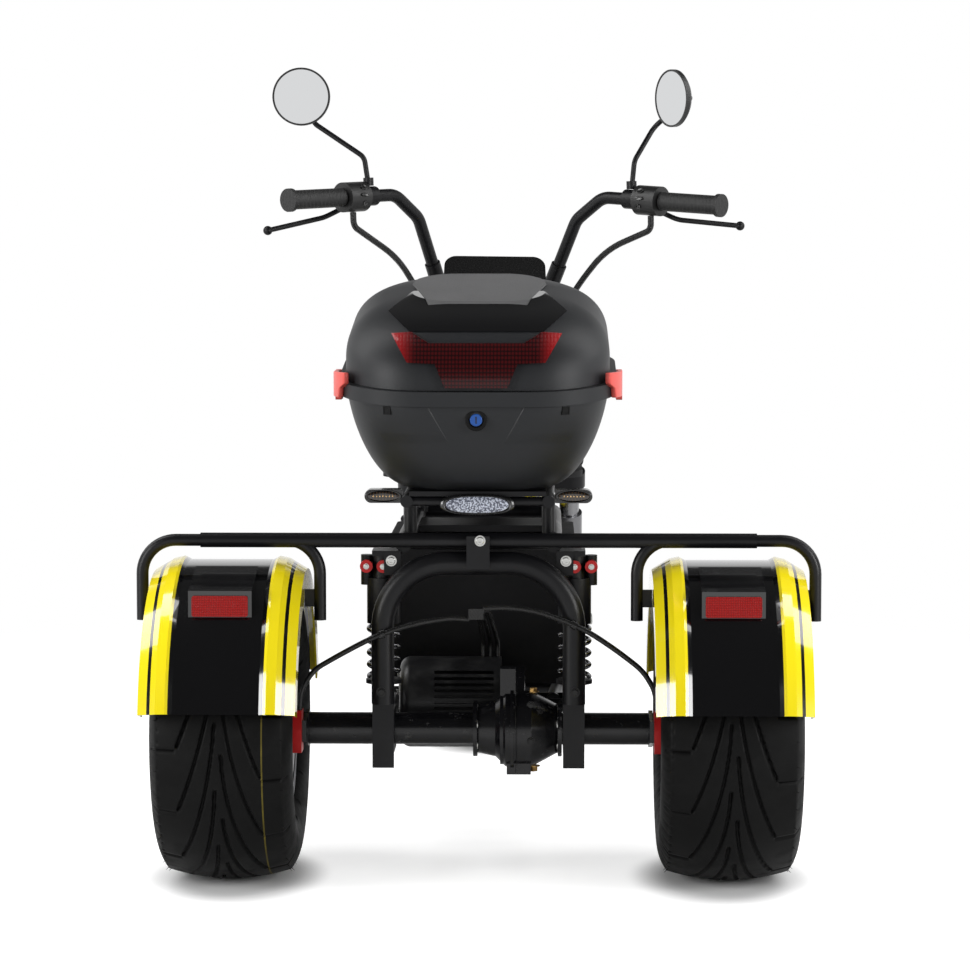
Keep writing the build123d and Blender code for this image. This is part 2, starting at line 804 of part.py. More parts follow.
def rear_hoses():
    """The two brake hoses from their splitter to the calipers, clipped to the arch's legs."""
    y = hose_y()
    caliper_top = tyre_radius + caliper_rise + caliper_length / 2
    drop_y = -caliper_reach
    size = splitter_size
    splitter_low = (splitter_x - size[0] / 2, y - size[1] / 2, splitter_z - size[2] / 2)
    splitter_high = (splitter_x + size[0] / 2, y + size[1] / 2, splitter_z + size[2] / 2)
    piece = block(splitter_low, splitter_high)
    legs = Part()
    for side, places in ((-1, left_hose_points), (1, right_hose_points)):
        start = (splitter_x + side * (size[0] / 2 - 1), y, places[0][1] - 2)
        points = [start] + [(x, y, z) for x, z in places]
        points.append((side * (hose_drop_x - 18), (y + drop_y) / 2, hose_drop_z + 20))
        points.append((side * hose_drop_x, drop_y, hose_drop_z - 10))
        points.append((side * (hose_drop_x + 2), drop_y, caliper_top + seat_gap))
        piece += cord(points, hose_diameter)
        at = Vector(*points[3])
        along = (Vector(*points[4]) - at).normalized()
        start_clip = at + along * ((side * arch_half - at.X) / along.X - hose_clip_width / 2)
        clip_radius = hose_diameter / 2 + hose_clip_wall
        end_clip = start_clip + along * hose_clip_width
        piece += rod(tuple(start_clip), tuple(end_clip), clip_radius)
        legs += rod((side * arch_half, arch_y, hose_drop_z), (side * arch_half, arch_y, arch_top_z),
                    arch_tube / 2 + seat_gap)
    return piece - legs


def motor_cables():
    """The three thick wires from the hoses' splitter to the top of the motor."""
    start_y = hose_y() + splitter_size[1] / 2 + seat_gap
    top = motor_z + motor_radius + seat_gap
    wires = Part()
    for index, x in enumerate(motor_cable_xs):
        start_x = splitter_x + (index - 1) * (motor_cable_diameter + 0.3)
        points = [(start_x, start_y, splitter_z)]
        for step, (y, z) in enumerate(zip(motor_cable_bend_y, motor_cable_bend_z)):
            share = (step + 1) / (len(motor_cable_bend_y) + 1)
            points.append((start_x + (x - start_x) * share, y, z))
        points += [(x, motor_y, top + 24), (x, motor_y, top)]
        wires += cord(points, motor_cable_diameter)
    return wires


# ------------------------------------------------------------ main frame
def head_point(along):
    """A point on the steering axis, at a distance from where the axis meets the ground."""
    return fork_point(0, 0, along)


def fork_point(x, ahead, along):
    """A point given along the steering axis and square to it."""
    y = wheelbase + trail - along * sin(radians(rake)) + ahead * cos(radians(rake))
    z = along * cos(radians(rake)) + ahead * sin(radians(rake))
    return (x, y, z)


head_low_w = yoke_low_w + yoke_low_thick + head_gap
yoke_top_w = head_low_w + head_length + head_gap


def main_frame():
    """The welded frame: two rails over the battery and under the floor, the spine and the head tube."""
    frame = Part()
    for side in SIDES:
        points = [
            (side * rail_x, rail_rear_y, rail_z),
            (side * rail_x, rail_knee_y, rail_z),
            (side * floor_rail_x, rail_knee_y + 40, floor_z),
            (side * floor_rail_x, floor_front_y, floor_z),
        ]
        frame += tube(points, rail_tube, rail_bend)
        frame += rod((side * rail_x, pivot_y - pivot_tube / 2, pivot_z + 1),
                     (side * (floor_rail_x - 1), rail_knee_y + 82, floor_z + 1), strut_tube / 2)
    for y, z in ((rail_rear_y + 12, rail_z), (rail_knee_y - 40, rail_z)):
        frame += rod((-rail_x, y, z), (rail_x, y, z), cross_tube / 2)
    for y in (rail_knee_y + 70, floor_front_y - rail_tube / 2):
        frame += rod((-floor_rail_x, y, floor_z), (floor_rail_x, y, floor_z), floor_cross_tube / 2)
    frame += rod((-arch_half - arm_tube / 2 - 4, pivot_y, pivot_z),
                 (arch_half + arm_tube / 2 + 4, pivot_y, pivot_z), pivot_tube / 2 - 6)
    low = (-tray_half, tray_rear_y, rail_z - tray_thick / 2)
    high = (tray_half, tray_rear_y + tray_depth, rail_z + tray_thick / 2)
    frame += block(low, high)
    head_low = head_point(head_low_w)
    head_high = head_point(head_low_w + head_length)
    head_middle = head_point(head_low_w + head_length * 0.55)
    spine = [
        (0, floor_front_y - rail_tube / 2 + 2, floor_z),
        (0, spine_knee_y, spine_knee_z),
        head_middle,
    ]
    frame += tube(spine, spine_tube, 120)
    frame += rod(head_low, head_high, head_radius)
    frame -= rod(head_point(head_low_w - 1), head_point(head_low_w + head_length + 1),
                 stem_radius + running_clearance)
    for side in SIDES:
        frame += shock_mount(side)
    return frame


def shock_mount(side):
    """The bracket over a shock's head, with the plate behind it that takes its bolt."""
    roof_low = shock_head_top_z + seat_gap
    xs = sorted((side * (rail_x + 4), side * (shock_x + 16)))
    back = shock_y - shock_cover_radius - 3
    roof = block((xs[0], back, roof_low), (xs[1], shock_y + 18, roof_low + 8))
    xs = sorted((side * (rail_x + 4), side * (shock_x - 2)))
    return roof + block((xs[0], back - 2, shock_cover_top_z + 6), (xs[1], back + 4, roof_low + 8))


def swing_arms():
    """The two arms from the pivot under the battery to the axle clamps, with their cross tube."""
    arms = Part()
    start_y = axle_tube_radius + clamp_thick + 2 * seat_gap
    for side in SIDES:
        x = side * arch_half
        arms += rod((x, start_y, tyre_radius), (x, pivot_y - 10, pivot_z), arm_tube / 2)
        eye_start = (x - arm_tube / 2, pivot_y, pivot_z)
        arms += rod(eye_start, (x + arm_tube / 2, pivot_y, pivot_z), pivot_tube / 2 + 4)
    arms += rod((-arch_half, pivot_y - 80, pivot_z + 2), (arch_half, pivot_y - 80, pivot_z + 2), 11)
    pin = rod((-arch_half - arm_tube, pivot_y, pivot_z), (arch_half + arm_tube, pivot_y, pivot_z),
              pivot_tube / 2 - 6 + running_clearance)
    return arms - pin


def battery_box():
    """The closed battery case under the seat, a plain block."""
    top = rail_z - rail_tube / 2 - seat_gap
    low = (-battery_half, battery_rear_y, battery_bottom_z)
    case = block(low, (battery_half, battery_front_y, top))
    return fillet(case.edges().filter_by(Axis.Z), battery_round)


def floorboard():
    """The flat foot deck on the floor rails, with a raised front edge."""
    low_z = floor_z + rail_tube / 2 + seat_gap
    front_half = floor_half * 0.72
    outline = [
        (-floor_half, floor_rear_y),
        (-floor_half, floor_end_y - 90),
        (-front_half, floor_end_y),
        (front_half, floor_end_y),
        (floor_half, floor_end_y - 90),
        (floor_half, floor_rear_y),
    ]
    board = Pos(0, 0, low_z) * extrude(make_face(Polyline(*outline, close=True)), floor_thick)
    notch_low = (-spine_tube / 2 - 6, floor_front_y - 40, low_z - 1)
    board -= block(notch_low, (spine_tube / 2 + 6, floor_end_y + 1, low_z + floor_thick + 1))
    for side in SIDES:
        xs = sorted((side * (floor_rail_x - 20), side * (floor_rail_x + 20)))
        notch_end = rail_knee_y + 40 + rail_bend
        board -= block((xs[0], floor_rear_y - 1, low_z - 1), (xs[1], notch_end, low_z + floor_thick + 1))
    return board


# ------------------------------------------------------------ rack, seat and rear lamps
def rack():
    """The tube rack that carries the seat and the luggage box, on four posts."""
    rail_mid = rack_top_z - rack_plate_thick - rack_tube / 2
    carrier = Part()
    for side in SIDES:
        carrier += rod((side * rack_rail_x, rack_rear_y, rail_mid),
                       (side * rack_rail_x, rack_front_y, rail_mid), rack_tube / 2)
        for y in (rear_post_y, front_post_y):
            post = rod((side * rack_rail_x, y, rail_z), (side * rack_rail_x, y, rail_mid), post_tube / 2)
            under = rod((side * rail_x, rack_rear_y, rail_z), (side * rail_x, rack_front_y, rail_z),
                        rail_tube / 2 + seat_gap)
            below = block((side * rack_rail_x - 40, y - 40, rail_z - 1),
                          (side * rack_rail_x + 40, y + 40, rail_z + 5))
            carrier += post - under - below
    for y in (rack_rear_y + rack_tube / 2, rack_plate_front_y, rack_front_y - rack_tube / 2):
        carrier += rod((-rack_rail_x, y, rail_mid), (rack_rail_x, y, rail_mid), rack_cross_tube / 2)
    low = (-rack_plate_half, rack_rear_y, rack_top_z - rack_plate_thick - 1)
    carrier += block(low, (rack_plate_half, rack_plate_front_y + rack_tube / 2, rack_top_z))
    return carrier


def seat_outline(inset):
    """The seat's outline from above, narrower at its nose."""
    half = seat_half - inset
    nose = seat_nose_half - inset
    rear = seat_rear_y + inset
    front = seat_front_y - inset
    waist = front - (front - rear) * 0.42
    points = [(-half, rear), (-half, waist), (-nose, front), (nose, front), (half, waist), (half, rear)]
    face = make_face(Polyline(*points, close=True))
    return fillet(face.vertices(), seat_corner - inset)


def seat_pan():
    """The hard base of the seat, on the rack's rails."""
    low_z = rack_top_z - rack_plate_thick + seat_gap
    return Pos(0, 0, low_z) * extrude(seat_outline(pan_inset), pan_thick)


def seat_cushion():
    """The seat cushion, a plain closed solid with rounded edges."""
    low_z = rack_top_z - rack_plate_thick + pan_thick + 2 * seat_gap
    pad = Pos(0, 0, low_z) * extrude(seat_outline(0), seat_height)
    top = pad.faces().sort_by(Axis.Z)[-1]
    return fillet(top.edges(), seat_round)


def oval(half, height, depth, plane):
    """A lamp body with a long rounded outline, extruded along the plane's normal."""
    return extrude(plane * SlotOverall(2 * half, height), depth)


def rear_lamp():
    """The oval lamp under the rack's rear edge."""
    plane = Plane(origin=(0, lamp_rear_y, lamp_z), x_dir=(-1, 0, 0), z_dir=(0, 1, 0))
    body = oval(lamp_half, lamp_height, lamp_depth, plane)
    clear = rack_rear_y - seat_gap
    body -= block((-200, clear, lamp_z - 40), (200, clear + 60, lamp_z + 60))
    return body


def rear_signals():
    """The two oval turn signals beside the rack, each on a short stalk."""
    pair = Part()
    rail_mid = rack_top_z - rack_plate_thick - rack_tube / 2
    for side in SIDES:
        plane = Plane(origin=(side * signal_x, signal_y, signal_z), x_dir=(-1, 0, 0), z_dir=(0, 1, 0))
        lens = oval(signal_half, signal_height, signal_depth, plane)
        stalk_y = signal_y + signal_depth / 2
        start = (side * (rack_rail_x + rack_tube / 2 + seat_gap), stalk_y, rail_mid)
        pair += lens - block((-rack_rail_x - 9.4, -200, 500), (rack_rail_x + 9.4, 200, 700))
        pair += rod(start, (side * signal_x, stalk_y, rail_mid), 5)
    return pair


# ------------------------------------------------------------ luggage box
def box_section(section, grow):
    """One rounded rectangle of the box, made wider all round by an amount."""
    z, shift, tilt, half_x, half_y, corner = section
    normal = (0, -sin(radians(tilt)), cos(radians(tilt)))
    plane = Plane(origin=(0, shift, z), x_dir=(1, 0, 0), z_dir=normal)
    return plane * RectangleRounded(2 * (half_x + grow), 2 * (half_y + grow), corner + grow)


def box_loft(sections, grow, lift):
    """A smooth body through the given sections, grown all round and lifted at its top end."""
    faces = [box_section(section, grow) for section in sections[:-1]]
    z, shift, tilt, half_x, half_y, corner = sections[-1]
    faces.append(box_section((z + lift, shift, tilt, half_x, half_y, corner), grow))
    return loft(faces)


def box_base():
    """The hollow lower half of the luggage box with the band round its mouth."""
    outer = box_loft(base_sections, 0, 0)
    lifted = [(z + box_wall if index == 0 else z, *rest) for index, (z, *rest) in enumerate(base_sections)]
    inner = box_loft(lifted, -box_wall, 0)
    split = base_sections[-1]
    rim_outer = box_section(split, band_out)
    rim_inner = box_section(split, -box_wall)
    band = extrude(rim_outer - rim_inner, -band_height)
    return outer + band - inner


def lid_shell():
    """The hollow lid of the luggage box, with its two hinge knuckles."""
    outer = box_loft(lid_sections, 0, 0)
    inner = box_loft(lid_sections, -box_wall, -box_wall)
    shell = outer - inner
    shell -= extrude(box_section(lid_sections[0], 20), lid_seam)
    for side in SIDES:
        shell += lid_knuckle(side)
    return shell


def band_front_y():
    """How far forward the band round the box's mouth reaches."""
    tilt = radians(box_split_tilt)
    return (base_sections[-1][4] + band_out) * cos(tilt) + band_height * sin(tilt)


def hinge_line():
    """The height and place of the lid's hinge pin, in front of the box's band."""
    y = band_front_y() + hinge_gap_y
    z = box_split_z + y * tan(radians(box_split_tilt)) + 2
    return y, z


def lid_knuckle(side):
    """The lid's half of one hinge: a barrel on an arm."""
    y, z = hinge_line()
    x = side * hinge_x
    half = hinge_knuckle_length / 2
    wall_y = lid_sections[0][4] - box_wall - 2
    barrel = rod((x - half, y, z), (x + half, y, z), hinge_knuckle_radius)
    arm = block((x - half, wall_y, z + 1), (x + half, y, z + hinge_knuckle_radius))
    hole = rod((x - half - 1, y, z), (x + half + 1, y, z), hinge_pin_radius + running_clearance)
    return barrel + arm - hole


def box_hinges():
    """The base's halves of the hinges: two cheeks and a pin each, on a foot against the band."""
    y, z = hinge_line()
    foot_y = band_front_y() + seat_gap
    half = hinge_knuckle_length / 2
    pair = Part()
    for side in SIDES:
        x = side * hinge_x
        pair += rod((x - half - 8, y, z), (x + half + 8, y, z), hinge_pin_radius)
        for outward in SIDES:
            xs = sorted((x + outward * (half + 1), x + outward * (half + 8)))
            pair += rod((xs[0], y, z), (xs[1], y, z), hinge_knuckle_radius)
            pair += block((xs[0], foot_y, z - 24), (xs[1], y + hinge_knuckle_radius - 1, z))
        pair += block((x - half - 8, foot_y, z - 24), (x + half + 8, foot_y + 3, z - 12))
    return pair


def on_lid(outline, out):
    """A thin piece that follows the lid's skin inside an outline seen from behind."""
    skin = box_loft(lid_sections, out, out) - box_loft(lid_sections, seat_gap, seat_gap)
    face = Plane(origin=(0, 0, 0), x_dir=(1, 0, 0), z_dir=(0, -1, 0))
    return skin & extrude(face * make_face(Polyline(*outline, close=True)), 400)


def both_sides(points):
    """A symmetric outline from its right half, listed from top to bottom."""
    return list(points) + [(-x, z) for x, z in reversed(points)]


def over_split(points):
    """Points given above the split, as heights above the ground."""
    return [(x, box_split_z + rise) for x, rise in points]


def lid_mat_face():
    """The mat's outline seen from above."""
    return make_face(Polyline(*both_sides(mat_outline), close=True))


def lid_panel():
    """The gloss panel over the rear of the lid, left open where the mat lies."""
    skin = on_lid(both_sides(over_split(panel_outline)), panel_out)
    above = make_face(Polyline(*both_sides(panel_cut), close=True))
    return skin & extrude(above - offset(lid_mat_face(), mat_gap), 1200)


def lid_mat():
    """The ribbed rubber mat on top of the lid."""
    skin = box_loft(lid_sections, mat_out, mat_out) - box_loft(lid_sections, seat_gap, seat_gap)
    return skin & extrude(lid_mat_face(), 1200)


def tail_lamp():
    """The red lamp across the rear of the lid."""
    outline = over_split((lamp_notch, *lamp_outline))
    return on_lid(both_sides(outline), tail_lamp_out)


def box_latches():
    """The two red latches at the sides of the lid, with their tails below the seam."""
    z = latch_z
    face_x = lid_sections[0][3]
    pair = Part()
    for side in SIDES:
        xs = sorted((side * (face_x + band_out + seat_gap), side * (face_x + band_out + latch_thick)))
        low = (xs[0], latch_y - latch_width / 2, z - latch_height / 2)
        body = block(low, (xs[1], latch_y + latch_width / 2, z + latch_height / 2))
        pair += fillet(body.edges().filter_by(Axis.X), 5)
    return pair


def box_lock():
    """The lock in the rear of the base: a round bezel and a key barrel."""
    face_y = -base_sections[4][4] + base_sections[4][1]
    plane = Plane(origin=(0, face_y - 1, lock_z), x_dir=(1, 0, 0), z_dir=(0, -1, 0))
    bezel = extrude(plane * Circle(lock_radius), lock_out)
    barrel = extrude(plane * Circle(lock_barrel_radius), lock_out + 2)
    return (bezel + barrel) - box_loft(base_sections, seat_gap, 0)


# ------------------------------------------------------------ steering
def fork_place(x, ahead, along):
    """The place of something drawn upright that leans back with the fork."""
    plane = Plane(origin=fork_point(x, ahead, along), x_dir=(1, 0, 0),
                  z_dir=(0, -sin(radians(rake)), cos(radians(rake))))
    return plane.location


steer_axis = Axis(head_point(0), (0, -sin(radians(rake)), cos(radians(rake))))
leg_ahead = -trail * cos(radians(rake)) + tyre_radius * sin(radians(rake))
axle_w = trail * sin(radians(rake)) + tyre_radius * cos(radians(rake))


def parked(piece):
    """Turns a piece of the steering with the bars, as the vehicle stands."""
    return piece.rotate(steer_axis, parked_steer_angle)


def fork_sliders():
    """The two lower fork legs, bored at their feet for the axle."""
    legs = Part()
    for side in SIDES:
        length = slider_top_w - axle_w + slider_foot
        leg = fork_place(side * fork_leg_x, leg_ahead, axle_w - slider_foot) * Cylinder(
            slider_radius, length, align=STANDING)
        bore = rod(fork_point(side * fork_leg_x, leg_ahead, axle_w + slider_foot + 10),
                   fork_point(side * fork_leg_x, leg_ahead, slider_top_w + 1), stanchion_radius + seat_gap)
        legs += leg - bore
    hole = Pos(0, wheelbase, tyre_radius) * turned_axle(axle_radius + running_clearance, -track, track)
    return legs - hole


def fork_stanchions():
    """The two inner fork tubes, from inside the sliders up through both yokes."""
    pair = Part()
    top = yoke_top_w + yoke_top_thick + 6
    for side in SIDES:
        start = fork_point(side * fork_leg_x, leg_ahead, axle_w + slider_foot + 12)
        pair += rod(start, fork_point(side * fork_leg_x, leg_ahead, top), stanchion_radius)
    return pair


def yoke(along, thick):
    """One yoke plate between the fork tubes and the stem."""
    outline = Pos(0, leg_ahead * 0.5) * SlotOverall(2 * fork_leg_x + 56, yoke_width + 12)
    body = fork_place(0, 0, along) * extrude(outline, thick)
    for side in SIDES:
        body -= rod(fork_point(side * fork_leg_x, leg_ahead, along - 1),
                    fork_point(side * fork_leg_x, leg_ahead, along + thick + 1), stanchion_radius + seat_gap)
    return body


def steering_yokes():
    """Both yokes joined by the stem that turns in the head tube."""
    body = yoke(yoke_low_w, yoke_low_thick) + yoke(yoke_top_w, yoke_top_thick)
    return body + rod(head_point(yoke_low_w + 1), head_point(yoke_top_w + yoke_top_thick - 1), stem_radius)


def front_axle():
    """The fixed axle through both sliders, with a nut at each end."""
    end = fork_leg_x + slider_radius + 4
    axle = turned_axle(axle_radius, -end - 6, end + 6)
    for side in SIDES:
        axle += turned_axle(axle_radius + 7, *sorted((side * (end - 4 + seat_gap), side * (end + 6))))
    return Pos(0, wheelbase, tyre_radius) * axle


def axis_y(z):
    """How far forward the steering axis is at a height."""
    return wheelbase + trail - z * tan(radians(rake))


def bar_points():
    """The bends of the handlebar from the left end to the right, rolled a little about its foot."""
    foot_w = yoke_top_w + yoke_top_thick + bar_foot_rise
    foot = fork_point(bar_foot_x, 0, foot_w)
    shoulder_y = axis_y(bar_shoulder_z) - bar_shoulder_back
    end_y = shoulder_y - (bar_end_x - bar_shoulder_x) * tan(radians(bar_sweep))
    right = [
        foot,
        (bar_knee_x, axis_y(bar_knee_z), bar_knee_z),
        (bar_shoulder_x, shoulder_y, bar_shoulder_z),
        (bar_end_x, end_y, bar_end_z),
    ]
    middle = Vector(*fork_point(0, 0, foot_w))
    level = [(-x, y, z) for x, y, z in reversed(right)] + right
    return [tuple(middle + (Vector(*p) - middle).rotate(Axis.Y, bar_roll)) for p in level]


def handlebar():
    """The bent handlebar, fatter where it rises from its clamps."""
    points = bar_points()
    bends = [bar_bend, bar_bend, bar_foot_bend, bar_foot_bend, bar_bend, bar_bend]
    bar = tube(points, bar_tube, bends)
    part_way = 0.72
    low_left = Vector(*points[3])
    low_right = Vector(*points[4])
    left = low_left + (Vector(*points[2]) - low_left) * part_way
    right = low_right + (Vector(*points[5]) - low_right) * part_way
    return bar + tube([left, low_left, low_right, right], bar_fat_tube, bends[2:4])


def bar_clamps():
    """The block on the top yoke that holds the foot of the handlebar."""
    low = yoke_top_w + yoke_top_thick + seat_gap
    high = low + bar_foot_rise + clamp_block / 2
    size = high - low
    body = fork_place(0, 0, low) * Box(bar_foot_x, clamp_block, size, align=STANDING)
    points = bar_points()
    return body - rod(points[3], points[4], bar_fat_tube / 2 + seat_gap)


def grip_line(side):
    """The outer run of the handlebar: its end and the direction back towards the middle."""
    points = bar_points() if side < 0 else bar_points()[::-1]
    end = Vector(*points[0])
    return end, (Vector(*points[1]) - end).normalized()


def along_grip(side, start, length, radius):
    """A round collar on the handlebar's outer run, from a distance to its end."""
    end, inward = grip_line(side)
    a = end + inward * start
    return rod(tuple(a), tuple(a + inward * length), radius)


def grips():
    """The two rubber grips with their caps."""
    pair = Part()
    for side in SIDES:
        grip = along_grip(side, -grip_cap_thick, grip_length + grip_cap_thick, grip_radius)
        grip += along_grip(side, -grip_cap_thick, grip_cap_thick, grip_cap_radius)
        pair += grip - along_grip(side, 0, grip_length + 1, bar_tube / 2)
    return pair


def control_pod(side):
    """A switch pod beside the grip."""
    start = grip_length + pod_gap
    pod = along_grip(side, start, pod_length, pod_radius)
    return pod - along_grip(side, start - 1, pod_length + 2, bar_tube / 2)


def perch_frame(side):
    """The place of the brake perch: its middle and the directions along the bar, ahead and up."""
    end, inward = grip_line(side)
    middle = end + inward * (grip_length + pod_gap + pod_length + pod_gap + perch_length / 2)
    up = Vector(0, 0, 1)
    ahead = inward.cross(up) * (-1 if side < 0 else 1)
    return middle, inward, ahead.normalized(), up


def brake_lever(side):
    """A brake perch with its reservoir and its long lever with a ball end."""
    start = grip_length + 2 * pod_gap + pod_length
    perch = along_grip(side, start, perch_length, perch_radius)
    middle, inward, ahead, up = perch_frame(side)
    pivot = middle + ahead * 38 + up * -10
    perch += rod(tuple(middle), tuple(pivot), 9)
    perch -= along_grip(side, start - 1, perch_length + 2, bar_tube / 2)
    knee = pivot - inward * 60 + ahead * 14 + up * -23
    drop = left_lever_drop if side < 0 else right_lever_drop
    tip = pivot - inward * lever_length + ahead * 19 + up * -drop
    lever = tube([tuple(pivot), tuple(knee), tuple(tip)], lever_thick, 60)
    ball = Pos(*tuple(tip)) * Sphere(lever_ball_radius)
    return perch + lever + ball


def mirror_centre(side):
    """The middle of a mirror's glass."""
    middle = perch_frame(side)[0]
    x, z = (-left_mirror_x, left_mirror_z) if side < 0 else (right_mirror_x, right_mirror_z)
    return Vector(x, middle.Y - mirror_back, z)


def mirror_stalk_piece(side, yaw):
    """The bent stalk of a mirror, from its clamp on the perch to the ball at the mirror's back."""
    middle, inward, _, up = perch_frame(side)
    root = middle + up * (perch_radius + 1)
    knee = root + up * 50 - inward * 8
    reach = mirror_rim + mirror_dome + mirror_ball + seat_gap
    centre = mirror_centre(side)
    ball = centre + Vector(0, reach, 0).rotate(Axis.Z, yaw)
    behind = reach * (1 + 1.1 * abs(sin(radians(yaw))))
    below = centre + Vector(-side * 22, behind, -46)
    stalk = tube([tuple(root), tuple(knee), tuple(below), tuple(ball)], mirror_stalk, 20)
    stalk += rod(tuple(root), tuple(root + up * 14), mirror_stalk)
    return stalk + Pos(*tuple(ball)) * Sphere(mirror_ball)


def mirror_head(side, yaw):
    """A round mirror: a domed shell with its rim, and the glass as a second solid."""
    shell = revolve(dome_profile(mirror_radius, mirror_rim, mirror_dome), axis=Axis.Y)
    face = Plane(origin=(0, 4, 0), z_dir=(0, -1, 0))
    shell -= face * Cylinder(mirror_radius - 3, 5, align=STANDING)
    glass = face.offset(seat_gap) * Cylinder(mirror_radius - 3 - seat_gap, 3, align=STANDING)
    place = Pos(*tuple(mirror_centre(side))) * Rot(0, 0, yaw)
    return place * shell, place * glass


def control_cables():
    """The two bundles of cables from the switch pods to the top yoke."""
    pair = Part()
    for side in SIDES:
        end, inward = grip_line(side)
        under = end + inward * (grip_length + pod_gap + pod_length / 2)
        under = under - Vector(0, 0, pod_radius + 3 * seat_gap)
        points = [under, under + Vector(0, 4, -24)]
        points += [Vector(side * x, axis_y(z) - back, z) for x, back, z in cable_bends[side]]
        for rise in (40, seat_gap):
            along = yoke_top_w + yoke_top_thick + rise
            points.append(Vector(*fork_point(side * control_cable_foot_x, control_cable_foot_ahead, along)))
        pair += cord([tuple(point) for point in points], control_cable_diameter)
    return pair


def display_plane():
    """The face of the instrument display, leaning back towards the rider."""
    lean = radians(display_lean)
    across = Vector(1, 0, 0).rotate(Axis.Y, bar_roll)
    outward = Vector(0, -cos(lean), sin(lean)).rotate(Axis.Y, bar_roll)
    return Plane(origin=(0, axis_y(display_z) - display_back, display_z), x_dir=across, z_dir=outward)


def display():
    """The instrument display on a stay from the handlebar clamp."""
    face = display_plane()
    body = extrude(face * RectangleRounded(display_width, display_height, 22), -display_thick)
    back = face.offset(-display_thick).origin
    clamp_top = yoke_top_w + yoke_top_thick + bar_foot_rise + clamp_block / 2 + 2 * seat_gap
    bend = fork_point(0, 0, clamp_top + 46)
    stay = tube([fork_point(0, 0, clamp_top), bend, tuple(back + face.z_dir * 4)], 16, 14)
    return body + stay


def headlight_face():
    """The middle of the headlight's front rim."""
    x, y, z = fork_point(0, headlight_v, headlight_w)
    return (x, y + headlight_depth * 0.6, z)


def headlight_lens():
    """The round lens in the headlight's rim."""
    back = -headlight_cup_depth + seat_gap
    lens = rod((0, back, 0), (0, back + headlight_lens_depth, 0), headlight_lens_radius - seat_gap)
    return Pos(*headlight_face()) * lens


def headlight():
    """The round headlight ahead of the yokes, on its bracket."""
    centre = fork_point(0, headlight_v, headlight_w)
    profile = dome_profile(headlight_radius, headlight_wall, headlight_depth - headlight_wall)
    shell = Rot(0, 0, 180) * revolve(profile, axis=Axis.Y)
    cup = rod((0, -1, 0), (0, headlight_cup_depth, 0), headlight_lens_radius)
    shell = Pos(*headlight_face()) * shell
    for side in SIDES:
        leg_low = fork_point(side * fork_leg_x, leg_ahead, headlight_w - 16)
        leg_high = fork_point(side * fork_leg_x, leg_ahead, headlight_w + 16)
        ear = rod(leg_low, leg_high, stanchion_radius + 6)
        inner_end = (side * (headlight_radius - 8), centre[1] + headlight_depth * 0.4, centre[2])
        ear += rod(fork_point(side * fork_leg_x, leg_ahead, headlight_w), inner_end, 7)
        bore_low = fork_point(side * fork_leg_x, leg_ahead, headlight_w - 40)
        bore_high = fork_point(side * fork_leg_x, leg_ahead, headlight_w + 40)
        shell += ear - rod(bore_low, bore_high, stanchion_radius + seat_gap)
    return shell - Pos(*headlight_face()) * Rot(0, 0, 180) * cup


def outputs():
    """Every node by its name, drawn with the rear axle at Y = 0."""
    nodes = {
        "main_frame": main_frame(),
        "swing_arms": swing_arms(),
        "rear_arch": rear_arch(),
        "fender_guard": fender_guard(),
        "axle_housing": axle_housing(),
        "differential": differential(),
        "drive_motor": drive_motor(),
        "battery_box": battery_box(),
        "floorboard": floorboard(),
        "rack": rack(),
        "seat_pan": seat_pan(),
        "seat_cushion": seat_cushion(),
        "rear_lamp": rear_lamp(),
        "rear_signals": rear_signals(),
        "fender_reflectors": reflectors(),
        "box_base": box_base(),
        "box_hinges": box_hinges(),
        "box_lock": box_lock(),
        "box_lid": lid_shell(),
        "lid_panel": lid_panel(),
        "lid_mat": lid_mat(),
        "tail_lamp": tail_lamp(),
        "box_latches": box_latches(),
        "fork_sliders": parked(fork_sliders()),
        "fork_stanchions": parked(fork_stanchions()),
        "steering_yokes": parked(steering_yokes()),
        "front_axle": parked(front_axle()),
        "handlebar": parked(handlebar()),
        "bar_clamp": parked(bar_clamps()),
        "grips": parked(grips()),
        "display": parked(display()),
        "headlight": parked(headlight()),
        "headlight_lens": parked(headlight_lens()),
        "control_cables": parked(control_cables()),
        "rear_hoses": rear_hoses(),
        "motor_cables": motor_cables(),
        "damper_knobs": place_shock(damper_knobs(), -1) + place_shock(damper_knobs(), 1),
        "front_fender": parked(front_fender()),
        "springs": place_shock(spring(), -1) + place_shock(spring(), 1),
    }
    nodes["rear_fenders"] = rear_fender(-1) + rear_fender(1)
    nodes["shocks"] = place_shock(shock(), -1) + place_shock(shock(), 1)
    nodes["rear_calipers"] = caliper(-1) + caliper(1)
    nodes["control_pods"] = parked(control_pod(-1) + control_pod(1))
    nodes["brake_levers"] = parked(brake_lever(-1) + brake_lever(1))
    nodes["mirror_stalks"] = parked(
        mirror_stalk_piece(-1, left_mirror_yaw) + mirror_stalk_piece(1, right_mirror_yaw))
    for name, side in (("left", -1), ("right", 1)):
        nodes[f"{name}_tyre"] = place_wheel(tyre(), side)
        nodes[f"{name}_rim"] = place_wheel(rear_rim(), side)
        nodes[f"{name}_brake_disc"] = place_wheel(wheel_disc(wheel_hub_inner), side)
    left_shell, left_glass = mirror_head(-1, left_mirror_yaw)
    right_shell, right_glass = mirror_head(1, right_mirror_yaw)
    nodes["mirror_shells"] = parked(left_shell + right_shell)
    nodes["mirror_glasses"] = parked(left_glass + right_glass)
    front = Pos(0, wheelbase, tyre_radius)
    nodes["front_tyre"] = parked(front * tyre())
    nodes["front_rim"] = parked(front * front_rim())
    nodes["front_brake_disc"] = parked(front * wheel_disc(wheel_hub_inner))
    return nodes


